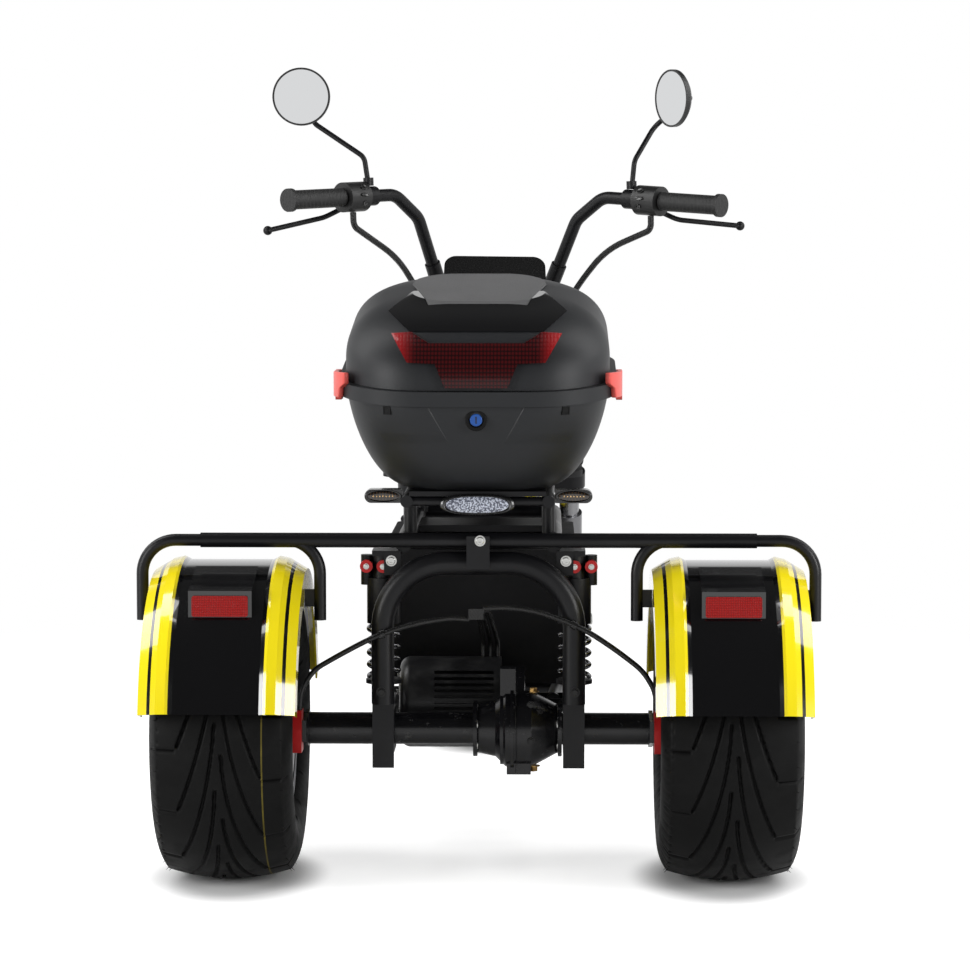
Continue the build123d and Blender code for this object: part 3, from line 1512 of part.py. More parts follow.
def whole_box(nodes):
    """The lowest and highest corner of all pieces together."""
    boxes = [piece.bounding_box() for piece in nodes.values()]
    low = [min(getattr(box.min, axis) for box in boxes) for axis in "XYZ"]
    high = [max(getattr(box.max, axis) for box in boxes) for axis in "XYZ"]
    return low, high


def centring(nodes):
    """The move that puts the origin on the ground under the middle of the vehicle."""
    low, high = whole_box(nodes)
    return Pos(-(low[0] + high[0]) / 2, -(low[1] + high[1]) / 2, 0)


os.makedirs("parts", exist_ok=True)
nodes = outputs()
shift = centring(nodes)
for node_name, node_piece in nodes.items():
    export_step(shift * node_piece, f"parts/{node_name}.step")
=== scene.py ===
import json
from math import cos, pi, radians, sin, sqrt

import bpy
from mathutils import Matrix, Vector


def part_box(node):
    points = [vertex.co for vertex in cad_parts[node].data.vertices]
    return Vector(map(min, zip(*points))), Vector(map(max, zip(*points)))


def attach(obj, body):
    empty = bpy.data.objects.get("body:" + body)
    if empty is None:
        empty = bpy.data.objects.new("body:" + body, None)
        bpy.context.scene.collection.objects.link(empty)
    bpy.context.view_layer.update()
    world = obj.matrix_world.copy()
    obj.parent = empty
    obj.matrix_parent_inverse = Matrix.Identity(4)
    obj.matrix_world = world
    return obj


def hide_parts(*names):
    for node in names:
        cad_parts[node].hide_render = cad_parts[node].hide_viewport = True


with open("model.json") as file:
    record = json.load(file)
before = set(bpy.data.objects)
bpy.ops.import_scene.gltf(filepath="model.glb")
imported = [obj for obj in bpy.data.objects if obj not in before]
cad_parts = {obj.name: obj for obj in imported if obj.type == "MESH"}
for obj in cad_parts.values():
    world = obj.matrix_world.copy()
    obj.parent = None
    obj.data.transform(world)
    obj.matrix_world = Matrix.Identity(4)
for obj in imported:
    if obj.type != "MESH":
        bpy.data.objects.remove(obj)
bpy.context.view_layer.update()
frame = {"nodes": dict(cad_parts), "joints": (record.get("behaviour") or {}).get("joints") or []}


# ------------------------------------------------------------ frame tubes
# Steel tube, bent and welded, under satin black powder paint. The paint lies as a fine orange peel
# and is rubbed a little smoother in patches.
class Wire:
    """A socket in a material's node tree. Sums and products of wires read as a formula."""

    def __init__(self, socket):
        self.socket = socket

    def node(self, kind, settings, inputs, output=0):
        """Any other node of the same tree: its settings, then the values or wires of its sockets."""
        tree = self.socket.id_data
        made = tree.nodes.new(kind)
        for name, value in settings.items():
            if name == "stops":
                ramp = made.color_ramp.elements
                while len(ramp) < len(value):
                    ramp.new(1)
                for stop, (place, colour) in zip(ramp, value):
                    stop.position = place
                    stop.color = colour
            else:
                setattr(made, name, value)
        for name, value in inputs.items():
            if isinstance(value, Wire):
                tree.links.new(value.socket, made.inputs[name])
            else:
                made.inputs[name].default_value = value
        return Wire(made.outputs[output])

    def maths(self, operation, *others):
        """A Math node with this wire as its first value."""
        return self.node("ShaderNodeMath", {"operation": operation}, dict(enumerate((self, *others))))

    def __add__(self, other):
        return self.maths("ADD", other)

    def __mul__(self, other):
        return self.maths("MULTIPLY", other)

    def __sub__(self, other):
        return self.maths("SUBTRACT", other)

    def __rsub__(self, other):
        return self * -1.0 + other

    def __gt__(self, other):
        return self.maths("GREATER_THAN", other)

    def __lt__(self, other):
        return self.maths("LESS_THAN", other)

    __radd__ = __add__
    __rmul__ = __mul__

    def noise(self, scale, detail=2.0, roughness=0.5):
        """Soft random grey, from these coordinates."""
        inputs = {"Vector": self, "Scale": scale, "Detail": detail, "Roughness": roughness}
        return self.node("ShaderNodeTexNoise", {}, inputs)

    def ramp(self, low, high):
        """Nought below low, one above high, and smooth between."""
        return self.node("ShaderNodeMapRange", {"interpolation_type": "SMOOTHSTEP"},
                         {"Value": self, "From Min": low, "From Max": high})

    def choose(self, plain, painted):
        """One colour where this mask is nought and the other where it is one."""
        return self.node("ShaderNodeMix", {"data_type": "RGBA"}, {0: self, 6: plain, 7: painted}, 2)


class Finish:
    """A material being mixed: its shader's constants, its Object coordinates and what feeds it."""

    def __init__(self, name, colour, roughness, **constants):
        self.material = bpy.data.materials.new(name)
        self.material.use_nodes = True
        self.tree = self.material.node_tree
        self.shader = self.tree.nodes["Principled BSDF"]
        self.shader.inputs["Base Color"].default_value = (*colour, 1)
        self.shader.inputs["Roughness"].default_value = roughness
        for name, value in constants.items():
            self.shader.inputs[name.replace("_", " ")].default_value = value
        self.place = Wire(self.tree.nodes.new("ShaderNodeTexCoord").outputs["Object"])
        split = self.tree.nodes.new("ShaderNodeSeparateXYZ")
        self.tree.links.new(self.place.socket, split.inputs[0])
        self.x, self.y, self.z = (Wire(output) for output in split.outputs)

    def feed(self, socket, wire):
        """Links a wire to one of the shader's sockets."""
        self.tree.links.new(wire.socket, self.shader.inputs[socket])

    def bump(self, height, distance, strength=1.0):
        """Raises the surface by a height from nought to one, times a distance in metres."""
        inputs = {"Height": height, "Distance": distance, "Strength": strength}
        self.feed("Normal", height.node("ShaderNodeBump", {}, inputs))

    def coat(self, *nodes):
        """Gives the finish to CAD nodes, whose shapes stay as they are."""
        for node in nodes:
            for place in frame["nodes"][node].material_slots:
                place.material = self.material


powder = Finish("powder_paint", (0.006, 0.006, 0.0065), 0.36, Specular_IOR_Level=0.28)
rubbed = powder.place.noise(9, 4).ramp(0.45, 0.75)
powder.feed("Base Color", rubbed.choose((0.004, 0.004, 0.005, 1), (0.008, 0.008, 0.009, 1)))
powder.feed("Roughness", 0.40 - 0.10 * rubbed)
powder.bump(powder.place.noise(700, 3), 0.0003, 0.25)
powder.coat("main_frame", "swing_arms", "rear_arch", "fender_guard", "rack", "handlebar", "bar_clamp",
            "brake_levers", "mirror_stalks", "headlight", "shocks", "steering_yokes")


# ------------------------------------------------------------ tyres
# Fat road tyres of soft black rubber. Long grooves leave the middle of the tread, sweep out to the
# shoulders and end in short level cuts. Each is a flat grid bent round to the tyre's section, with the
# thin hairs of its mould on both shoulders. A yellow line runs round the left one.
joint_at = {joint["name"]: Vector(joint["pos_m"]) for joint in frame["joints"]}
joint_axis = {joint["name"]: Vector(joint["axis"]) for joint in frame["joints"]}

rubber = Finish("tyre_rubber", (0.006, 0.006, 0.006), 0.62, Specular_IOR_Level=0.12)
dust = rubber.place.noise(26, 5, 0.6).ramp(0.42, 0.72)
dusted = dust.choose((0.0035, 0.0035, 0.0035, 1), (0.008, 0.008, 0.008, 1))
marker_x = joint_at["left_wheel_spin"].x + 0.063
marker_half = 0.0011
marker = (rubber.x - marker_x).maths("ABSOLUTE") < marker_half
rubber.feed("Base Color", (marker * (0.55 + 0.45 * dust)).choose(dusted, (0.20, 0.16, 0.030, 1)))
rubber.feed("Roughness", 0.50 + 0.2 * dust)
rubber.bump(rubber.place.noise(900, 2), 0.0004, 0.3)

tyre_radius = (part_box("left_tyre")[1].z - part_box("left_tyre")[0].z) / 2
bead_radius = 0.1016
bead_half = 0.082
bead_flange = 0.018
side_radius = 0.172
side_half = 0.104
shoulder_drop = 0.014
shoulder_half = 0.090
tyre_rings = 420
tread_pitches = 14
tread_stagger = 0.45
grooves_across = 4
groove_sweep = radians(62)
groove_start = 0.005
groove_reach = 0.055
groove_bend = 1.7
groove_gap = 0.02
groove_half = 0.0023
groove_depth = 0.0050
cut_from, cut_to = 0.062, 0.099
cut_half = 0.0017
cut_share = 0.7
fine_from, fine_to = 0.086, 0.1005
fine_half = 0.0010
fine_share = 0.35
plain_wall = 0.03
hair_count = 72
hair_sink = 0.0005


def fresh():
    """Leaves nothing selected, so that the next operator acts on the new piece alone."""
    bpy.ops.object.select_all(action="DESELECT")


def aim(place, direction):
    """The matrix that stands a piece drawn along +Z at a place, pointing along a direction."""
    front = Vector(direction).normalized()
    level = Vector((0, 0, 1)).cross(front)
    level = level.normalized() if level.length > 0.01 else Vector((1, 0, 0))
    turn = Matrix((level, front.cross(level), front)).transposed()
    return Matrix.Translation(place) @ turn.to_4x4()


def settle(piece, matrix):
    """Puts a piece's place into its mesh, with the object itself at the origin."""
    bpy.context.view_layer.update()
    piece.data.transform(matrix @ piece.matrix_world)
    piece.matrix_world = Matrix.Identity(4)
    return piece


def copied(piece, matrix):
    """A second piece with its own mesh, moved by a matrix."""
    twin = piece.copy()
    twin.data = piece.data.copy()
    twin.data.transform(matrix)
    bpy.context.scene.collection.objects.link(twin)
    return twin


def joined(pieces, name):
    """Several meshes as one piece with one name."""
    fresh()
    for piece in pieces:
        piece.select_set(True)
    bpy.context.view_layer.objects.active = pieces[0]
    if len(pieces) > 1:
        bpy.ops.object.join()
    bpy.context.object.name = name
    return bpy.context.object


def arc_points(start, middle, end, count):
    """Points along the arc through three points of the plane, without its last point."""
    (ax, ay), (bx, by), (cx, cy) = start, middle, end
    twice = 2 * (ax * (by - cy) + bx * (cy - ay) + cx * (ay - by))
    squares = [x * x + y * y for x, y in (start, middle, end)]
    ox = (squares[0] * (by - cy) + squares[1] * (cy - ay) + squares[2] * (ay - by)) / twice
    oy = (squares[0] * (cx - bx) + squares[1] * (ax - cx) + squares[2] * (bx - ax)) / twice
    centre = Vector((ox, oy))
    spoke = Vector(start) - centre
    swing = spoke.angle_signed(Vector(end) - centre)
    points = []
    for step in range(count):
        turn = Matrix.Rotation(-swing * step / count, 2)
        points.append(centre + turn @ spoke)
    return points


def tyre_section():
    """A tyre's closed outline, across and out from its axle, from one bead over the crown and back."""
    bead = (bead_half, bead_radius + bead_flange)
    side = (side_half, side_radius)
    edge = (shoulder_half, tyre_radius - shoulder_drop)
    crown = arc_points(edge, (0, tyre_radius), (-edge[0], edge[1]), 120)
    right = arc_points(bead, side, edge, 22)
    left = arc_points((-edge[0], edge[1]), (-side[0], side[1]), (-bead[0], bead[1]), 22)
    foot = [Vector((bead_half * (step - 4) / 4, bead_radius)) for step in range(9)]
    return right + crown + left + foot


def notch(distance, half):
    """One inside a cut of the given half width, falling to nought over its edge."""
    return max(0.0, min(1.0, (half - abs(distance)) / (0.5 * half) + 0.5))


def tread_cut(turn, across):
    """How deep the tread is cut, nought to one, at a turn of the wheel and a distance from its middle.

    Grooves sweep out with a power of the turn. A level cut lies just past the end of each, and fine cuts
    mark the shoulder, five to a pitch.
    """
    pitch = 2 * pi / tread_pitches
    reach = abs(across)
    if across < 0:
        turn += tread_stagger * pitch
    deep = 0.0
    for groove in range(grooves_across):
        run = (turn % pitch + groove * pitch) / groove_sweep
        if groove_gap < run < 1.0:
            slope = groove_bend * groove_reach * run ** (groove_bend - 1) / (groove_sweep * tyre_radius)
            distance = (reach - groove_start - groove_reach * run ** groove_bend) / sqrt(1 + slope * slope)
            deep = max(deep, notch(distance, groove_half))
    end = groove_sweep + groove_gap
    level = ((turn - end + pitch / 2) % pitch - pitch / 2) * tyre_radius
    if cut_from < reach < cut_to:
        deep = max(deep, cut_share * notch(level, cut_half))
    fine = ((turn - end) % (pitch / 5) - pitch / 10) * tyre_radius
    if fine_from < reach < fine_to:
        deep = max(deep, fine_share * notch(fine, fine_half))
    return deep


def wheel_place(wheel):
    """The matrix that brings a wheel drawn about the X axis at the origin to its own axle."""
    spin = Vector((1, 0, 0)).rotation_difference(-joint_axis[f"{wheel}_wheel_spin"])
    return Matrix.Translation(joint_at[f"{wheel}_wheel_spin"]) @ spin.to_matrix().to_4x4()


def tyre_mesh(place):
    """A flat grid bent round to the tyre's section with its tread cut in, closed along its two seams."""
    section = tyre_section()
    cuts = [[tread_cut(2 * pi * ring / tyre_rings, across) if out > bead_radius + plain_wall else 0.0
             for across, out in section] for ring in range(tyre_rings)]
    bpy.ops.mesh.primitive_grid_add(x_subdivisions=len(section), y_subdivisions=tyre_rings)
    piece = bpy.context.object
    for index, vertex in enumerate(piece.data.vertices):
        ring, band = divmod(index, len(section) + 1)
        across, out = section[band % len(section)]
        out -= groove_depth * cuts[ring % tyre_rings][band % len(section)]
        turn = 2 * pi * ring / tyre_rings
        vertex.co = place @ Vector((across, -out * cos(turn), -out * sin(turn)))
    return piece


def moulding_hairs(place):
    """The thin rubber hairs that the mould's vents leave round both shoulders of a new tyre."""
    fresh()
    bpy.ops.mesh.primitive_cone_add(vertices=3, radius1=0.0007, radius2=0.0002, depth=0.0060,
                                    location=(0, 0, 0.0028))
    hair = settle(bpy.context.object, Matrix.Identity(4))
    hairs = []
    for step in range(hair_count):
        side = 1 if step % 2 else -1
        turn = 2 * pi * (step + 0.3 * sin(step * 2.4)) / hair_count
        round_way = Vector((0, -cos(turn), -sin(turn)))
        shoulder = Vector((side * (shoulder_half - hair_sink), 0, 0))
        root = round_way * (tyre_radius - shoulder_drop - hair_sink) + shoulder
        way = place.to_3x3() @ (round_way * 0.7 + Vector((side * 0.7, 0, 0)))
        hairs.append(copied(hair, aim(place @ root, way)))
    bpy.data.objects.remove(hair)
    return joined(hairs, "moulding_hairs")


for wheel in ("left", "right", "front"):
    hairs = moulding_hairs(wheel_place(wheel))
    hairs.name = f"{wheel}_tyre_hairs"
    hairs.data.materials.append(rubber.material)
    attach(hairs, f"{wheel}_wheel")
    fresh()
    tyre = tyre_mesh(wheel_place(wheel))
    tyre.name = f"{wheel}_tyre_tread"
    bpy.ops.object.mode_set(mode="EDIT")
    bpy.ops.mesh.select_all(action="SELECT")
    bpy.ops.mesh.remove_doubles(threshold=0.00001)
    bpy.ops.mesh.normals_make_consistent(inside=False)
    bpy.ops.object.mode_set(mode="OBJECT")
    bpy.ops.object.shade_smooth_by_angle(angle=radians(50))
    tyre.data.materials.append(rubber.material)
    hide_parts(f"{wheel}_tyre")
    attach(tyre, f"{wheel}_wheel")


# ------------------------------------------------------------ rims and brake discs
# Cast alloy rims with a fine sandy grain, and steel discs that the pads have polished unevenly.
alloy = Finish("rim_alloy", (0.42, 0.42, 0.44), 0.30, Metallic=1.0)
cast_grain = alloy.place.noise(420, 3)
alloy.feed("Roughness", 0.22 + 0.16 * cast_grain)
alloy.bump(cast_grain, 0.0002, 0.2)
alloy.coat("left_rim", "right_rim", "front_rim")

disc_steel = Finish("disc_steel", (0.48, 0.48, 0.48), 0.3, Metallic=1.0)
scores = disc_steel.place.noise(55, 2)
disc_steel.feed("Roughness", 0.24 + 0.18 * scores)
disc_steel.coat("left_brake_disc", "right_brake_disc", "front_brake_disc")


# ------------------------------------------------------------ rear fenders
# Broad fenders pressed from sheet and painted gloss black. Along each edge run a wide and a narrow
# yellow stripe with a black line between them, under clear lacquer.
track_half = joint_at["right_wheel_spin"].x
fender_paint = Finish("fender_paint", (0.006, 0.006, 0.007), 0.12, Coat_Weight=1.0, Coat_Roughness=0.04)
aside = (fender_paint.x.maths("ABSOLUTE") - track_half).maths("ABSOLUTE")
wide_from, wide_to, narrow_from = 0.068, 0.094, 0.099
striped = (aside > wide_from) * (aside < wide_to) + (aside > narrow_from)
fender_paint.feed("Base Color", striped.choose((0.003, 0.003, 0.0035, 1), (0.98, 0.80, 0.008, 1)))
fender_paint.feed("Roughness", 0.10 + 0.08 * fender_paint.place.noise(6, 3))
fender_paint.coat("rear_fenders")

# The front fender has the same two stripes along its own wheel.
front_paint = Finish("front_fender_paint", (0.006, 0.006, 0.007), 0.12, Coat_Weight=1.0, Coat_Roughness=0.04)
front_way = joint_axis["front_wheel_spin"]
front_middle = joint_at["front_wheel_spin"].dot(front_way)
across = front_paint.x * front_way.x + front_paint.y * front_way.y + front_paint.z * front_way.z
aside = (across - front_middle).maths("ABSOLUTE")
wide_from, wide_to, narrow_from, narrow_to = 0.066, 0.090, 0.094, 0.106
front_striped = (aside > wide_from) * (aside < wide_to) + (aside > narrow_from) * (aside < narrow_to)
front_paint.feed("Base Color", front_striped.choose((0.010, 0.010, 0.011, 1), (0.98, 0.80, 0.008, 1)))
front_paint.feed("Roughness", 0.14 + 0.08 * front_paint.place.noise(6, 3))
front_paint.coat("front_fender")


# ------------------------------------------------------------ axle, differential and drive motor
# Castings and tubes under gloss black paint that has been handled and scuffed, and a motor under duller
# paint with dust on it. Their screws are plated or black, each on its washer.
casting = Finish("casting_paint", (0.005, 0.005, 0.006), 0.25, Coat_Weight=0.2, Coat_Roughness=0.15,
                 Specular_IOR_Level=0.35)
scuffs = casting.place.noise(60, 6, 0.7).ramp(0.60, 0.68)
sand = casting.place.noise(520, 2)
casting.feed("Base Color", scuffs.choose((0.004, 0.004, 0.005, 1), (0.040, 0.040, 0.040, 1)))
casting.feed("Roughness", 0.24 + 0.2 * scuffs)
case_split = 0.0583
split_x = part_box("differential")[0].x + case_split
split_line = (casting.x - split_x).maths("ABSOLUTE").ramp(0.0004, 0.0016)
casting.bump(sand * 0.2 + split_line, 0.0012, 0.6)
casting.coat("axle_housing", "differential")
motor_paint = Finish("motor_paint", (0.012, 0.012, 0.013), 0.38)
motor_dust = motor_paint.place.noise(34, 5, 0.65).ramp(0.45, 0.75)
motor_paint.feed("Base Color", motor_dust.choose((0.009, 0.009, 0.010, 1), (0.024, 0.024, 0.024, 1)))
motor_paint.feed("Roughness", 0.34 + 0.2 * motor_dust)
motor_paint.bump(motor_paint.place.noise(520, 2), 0.0004, 0.3)
motor_paint.coat("drive_motor")

plated = Finish("plated_screws", (0.62, 0.62, 0.60), 0.25, Metallic=1.0)
plated.feed("Roughness", 0.2 + 0.2 * plated.place.noise(300, 2))
black_screw = Finish("black_screws", (0.02, 0.02, 0.02), 0.35, Metallic=0.6)
black_screw.feed("Roughness", 0.3 + 0.2 * black_screw.place.noise(300, 2))
brass = Finish("brass_fittings", (0.55, 0.34, 0.12), 0.3, Metallic=1.0)
brass.feed("Roughness", 0.25 + 0.25 * brass.place.noise(200, 3))

axle_y = joint_at["left_wheel_spin"].y
axle_z = joint_at["left_wheel_spin"].z


def pick(test):
    """Goes into edit mode with only those faces selected whose centre and normal pass the test."""
    piece = bpy.context.object
    bpy.ops.object.mode_set(mode="EDIT")
    bpy.ops.mesh.select_mode(type="FACE")
    bpy.ops.mesh.select_all(action="DESELECT")
    bpy.ops.object.mode_set(mode="OBJECT")
    for face in piece.data.polygons:
        face.select = test(face.center, face.normal)
    bpy.ops.object.mode_set(mode="EDIT")


def touch(node, start, way):
    """The point where a line from a start meets a CAD node."""
    bpy.context.view_layer.update()
    met, place, _, _ = frame["nodes"][node].ray_cast(Vector(start), Vector(way))
    assert met, f"the line misses {node}"
    return place


washer_thick = 0.0012


def screw_head(radius, height, sides):
    """A screw head on its washer: a chamfered hexagon, or a round cap with a socket."""
    fresh()
    bpy.ops.mesh.primitive_cylinder_add(vertices=24, radius=radius * 1.35, depth=washer_thick,
                                        location=(0, 0, washer_thick / 2))
    washer = settle(bpy.context.object, Matrix.Identity(4))
    fresh()
    bpy.ops.mesh.primitive_cylinder_add(vertices=sides, radius=radius, depth=height,
                                        location=(0, 0, height / 2 + washer_thick))
    head = settle(bpy.context.object, Matrix.Identity(4))
    pick(lambda centre, normal: normal.z > 0.9)
    bpy.ops.mesh.inset(thickness=radius * 0.14)
    bpy.ops.transform.translate(value=(0, 0, radius * 0.12))
    if sides > 6:
        bpy.ops.mesh.inset(thickness=radius * 0.42)
        bpy.ops.mesh.extrude_region_move(TRANSFORM_OT_translate={"value": (0, 0, -height * 0.6)})
    bpy.ops.object.mode_set(mode="OBJECT")
    return joined([washer, head], "screw_head")


def screws(name, finish, body, size, sides, places):
    """A set of like screws as one piece: each place is a point and the way its head faces."""
    head = screw_head(size, size * 0.8, sides)
    heads = [copied(head, aim(place, direction)) for place, direction in places]
    bpy.data.objects.remove(head)
    piece = joined(heads, name)
    bpy.ops.object.shade_smooth_by_angle(angle=radians(30))
    piece.data.materials.append(finish.material)
    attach(piece, body)
    return piece


flange_low, flange_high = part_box("differential")
flange_circle = 0.031
flange_screws = []
for x, way in ((flange_low.x, -1), (flange_high.x, 1)):
    for turn in range(6):
        angle = radians(60 * turn + 20)
        place = (x - way * 0.001, axle_y - flange_circle * cos(angle), axle_z + flange_circle * sin(angle))
        flange_screws.append((place, (way, 0, 0)))
screws("axle_flange_screws", plated, "frame", 0.0055, 6, flange_screws)
case_screws = []
case_circle = 0.050
case_rim = flange_low.x + 0.075
for turn in range(8):
    angle = radians(45 * turn + 12)
    place = (case_rim, axle_y - case_circle * cos(angle), axle_z + case_circle * sin(angle))
    case_screws.append((place, (1, 0, 0)))
screws("case_screws", black_screw, "frame", 0.0045, 6, case_screws)

back = (0, -1, 0)
behind = -1.2
face_screws = [(touch("differential", (0.078, behind, z), (0, 1, 0)), back) for z in (0.266, 0.215)]
screws("case_face_screws", black_screw, "frame", 0.0045, 6, face_screws)
vent_place = touch("differential", (0.082, axle_y, 0.6), (0, 0, -1))
screws("case_vent", brass, "frame", 0.0060, 6, [(vent_place, (0, 0, 1))])
drain_place = touch("differential", (0.081, axle_y, 0.0), (0, 0, 1))
screws("drain_plug", brass, "frame", 0.0080, 6, [(drain_place, (0, 0, -1))])

motor_low, motor_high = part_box("drive_motor")
cap_screws = []
cap_circle = 0.040
for turn in range(6):
    angle = radians(60 * turn + 30)
    y = (motor_low.y + motor_high.y) / 2 + cap_circle * cos(angle)
    z = (motor_low.z + motor_high.z) / 2 + cap_circle * sin(angle)
    cap_screws.append((touch("drive_motor", (-0.3, y, z), (1, 0, 0)), (-1, 0, 0)))
screws("motor_cap_screws", plated, "frame", 0.0040, 16, cap_screws)

# The arch's clamps, the shock plates, the tray's tabs and the guard's bracket are bolted on from behind.
clamp_x, clamp_z = 0.1435, 0.2886
clamp_places = [(touch("rear_arch", (x, behind, clamp_z), (0, 1, 0)), back) for x in (-clamp_x, clamp_x)]
screws("arch_clamp_screws", black_screw, "frame", 0.0055, 6, clamp_places)
plate_x, plate_z = 0.130, 0.4805
plate_places = [(touch("main_frame", (x, behind, plate_z), (0, 1, 0)), back) for x in (-plate_x, plate_x)]
bracket_x, bracket_z = 0.003, 0.5145
plate_places.append((touch("fender_guard", (bracket_x, behind, bracket_z), (0, 1, 0)), back))
screws("plate_screws", plated, "frame", 0.0060, 16, plate_places)
tab_x, tab_z = 0.079, 0.505
tab_places = [(touch("main_frame", (x, behind, tab_z), (0, 1, 0)), back) for x in (-tab_x, tab_x)]
screws("tray_tab_screws", plated, "frame", 0.0040, 16, tab_places)

# Each rear wheel is held by five nuts round its hub, and the front axle by a nut at each end.
nut_circle = 0.028
for wheel, side in (("left", -1), ("right", 1)):
    nuts = []
    for turn in range(5):
        angle = radians(72 * turn)
        start = (side * 0.6, axle_y + nut_circle * cos(angle), axle_z + nut_circle * sin(angle))
        nuts.append((touch(f"{wheel}_rim", start, (-side, 0, 0)), (side, 0, 0)))
    screws(f"{wheel}_wheel_nuts", plated, f"{wheel}_wheel", 0.0060, 6, nuts)
front_end = joint_at["front_wheel_spin"]
end_nuts = [(touch("front_axle", front_end + front_way * way * 0.3, -front_way * way), front_way * way)
            for way in (-1, 1)]
screws("front_axle_nuts", plated, "steering", 0.0110, 6, end_nuts)


# ------------------------------------------------------------ battery box and floorboard
# The battery stands in a box of matt black board with a fine leather-like grain. The floorboard has a
# rubber mat moulded in ribs across the feet's way.
board = Finish("battery_board", (0.007, 0.007, 0.008), 0.62, Specular_IOR_Level=0.25)
cells = board.place.node("ShaderNodeTexVoronoi", {}, {"Vector": board.place, "Scale": 650})
board.feed("Roughness", 0.56 + 0.2 * board.place.noise(14, 4))
board.bump(cells, 0.0004, 0.4)
board.coat("battery_box", "seat_pan", "box_hinges")

foot_rubber = Finish("floor_rubber", (0.016, 0.016, 0.016), 0.6)
ribs = (foot_rubber.y * (2 * pi / 0.008)).maths("SINE").ramp(-0.2, 0.6)
worn = foot_rubber.place.noise(12, 5).ramp(0.45, 0.7)
foot_rubber.feed("Base Color", worn.choose((0.013, 0.013, 0.013, 1), (0.026, 0.026, 0.025, 1)))
foot_rubber.feed("Roughness", 0.5 + 0.2 * worn)
foot_rubber.bump(ribs, 0.0014, 0.8)
foot_rubber.coat("floorboard")


# ------------------------------------------------------------ luggage box
# The base and lid are moulded from dark grey plastic with a fine grain that takes no gloss. Beside the
# lock two creases slope in like the sides of a V.
moulded = Finish("box_plastic", (0.015, 0.016, 0.018), 0.48, Specular_IOR_Level=0.32)
grain = moulded.place.noise(1500, 2)
patches = moulded.place.noise(7, 3)
moulded.feed("Base Color", patches.choose((0.013, 0.014, 0.016, 1), (0.018, 0.019, 0.021, 1)))
moulded.feed("Roughness", 0.42 + 0.10 * grain)
vee_top, vee_foot = 0.718, 0.662
vee_edge = 0.069 - 0.55 * (vee_top - moulded.z)
vee = (moulded.x.maths("ABSOLUTE") - vee_edge).ramp(-0.0012, 0.0012)
vee_reach = moulded.z.ramp(vee_foot, vee_foot + 0.02) * (moulded.z < vee_top) * (moulded.y < -0.78)
moulded.bump(grain * 0.05 + vee * vee_reach, 0.0030, 0.6)
moulded.coat("box_base", "box_lid")

gloss = Finish("gloss_black", (0.004, 0.004, 0.0045), 0.06, Coat_Weight=1.0, Coat_Roughness=0.03)
gloss.feed("Roughness", 0.05 + 0.05 * gloss.place.noise(30, 3))
gloss.coat("lid_panel")

# The mat on the lid is soft black rubber, moulded in rows of small zigzags.
mat = Finish("lid_mat", (0.090, 0.090, 0.092), 0.6)
worn_mat = mat.place.noise(18, 4)
mat.feed("Base Color", worn_mat.choose((0.075, 0.075, 0.077, 1), (0.110, 0.110, 0.112, 1)))
teeth = (mat.x * (2 * pi / 0.007)).maths("SINE").maths("ABSOLUTE") * 0.0035
rows = ((mat.y + teeth) * (2 * pi / 0.0055)).maths("SINE").ramp(-0.3, 0.5)
mat.feed("Roughness", 0.45 + 0.2 * (1 - rows))
mat.bump(rows, 0.0008, 0.9)
mat.coat("lid_mat")

# The latches are of coral red plastic. From each a hook follows the band round to the rear.
coral = Finish("latch_red", (0.80, 0.110, 0.092), 0.38, Specular_IOR_Level=0.3)
coral.feed("Roughness", 0.32 + 0.1 * coral.place.noise(500, 2))
coral.coat("box_latches")


def latch_wrap(side):
    """The hook of a latch: a strip that follows the band round the corner, with a narrower foot.

    Each row of the strip has a height and an inner end. Its last column lies out on the box's side.
    """
    band = [(0.7285, 0.1945), (0.7430, 0.1930), (0.7500, 0.1850), (0.7655, 0.1850)]
    corner_x = 0.2034
    outer_x, outer_y = 0.2046, -0.648
    band_middle = 0.740
    columns = 7
    fresh()
    bpy.ops.mesh.primitive_grid_add(x_subdivisions=columns - 1, y_subdivisions=len(band) - 1)
    piece = bpy.context.object
    for index, vertex in enumerate(piece.data.vertices):
        row, column = divmod(index, columns)
        height, inner = band[row]
        x = inner + (corner_x - inner) * column / (columns - 2)
        if column < columns - 1:
            y = touch("box_base", (side * x, behind, band_middle), (0, 1, 0)).y
        else:
            x, y = outer_x, outer_y
        vertex.co = (side * x, y, height)
    thick = piece.modifiers.new("thick", "SOLIDIFY")
    thick.thickness = 0.0078
    thick.offset = side
    edges = piece.modifiers.new("edges", "BEVEL")
    edges.width = 0.0018
    edges.segments = 3
    edges.angle_limit = radians(50)
    for modifier in ("thick", "edges"):
        bpy.ops.object.modifier_apply(modifier=modifier)
    bpy.ops.object.mode_set(mode="EDIT")
    bpy.ops.mesh.select_all(action="SELECT")
    bpy.ops.mesh.normals_make_consistent(inside=False)
    bpy.ops.object.mode_set(mode="OBJECT")
    bpy.ops.object.shade_smooth_by_angle(angle=radians(35))
    piece.data.materials.append(coral.material)
    return piece


for side, name in ((-1, "left"), (1, "right")):
    wrap = latch_wrap(side)
    wrap.name = f"latch_wrap_{name}"
    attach(wrap, "frame")

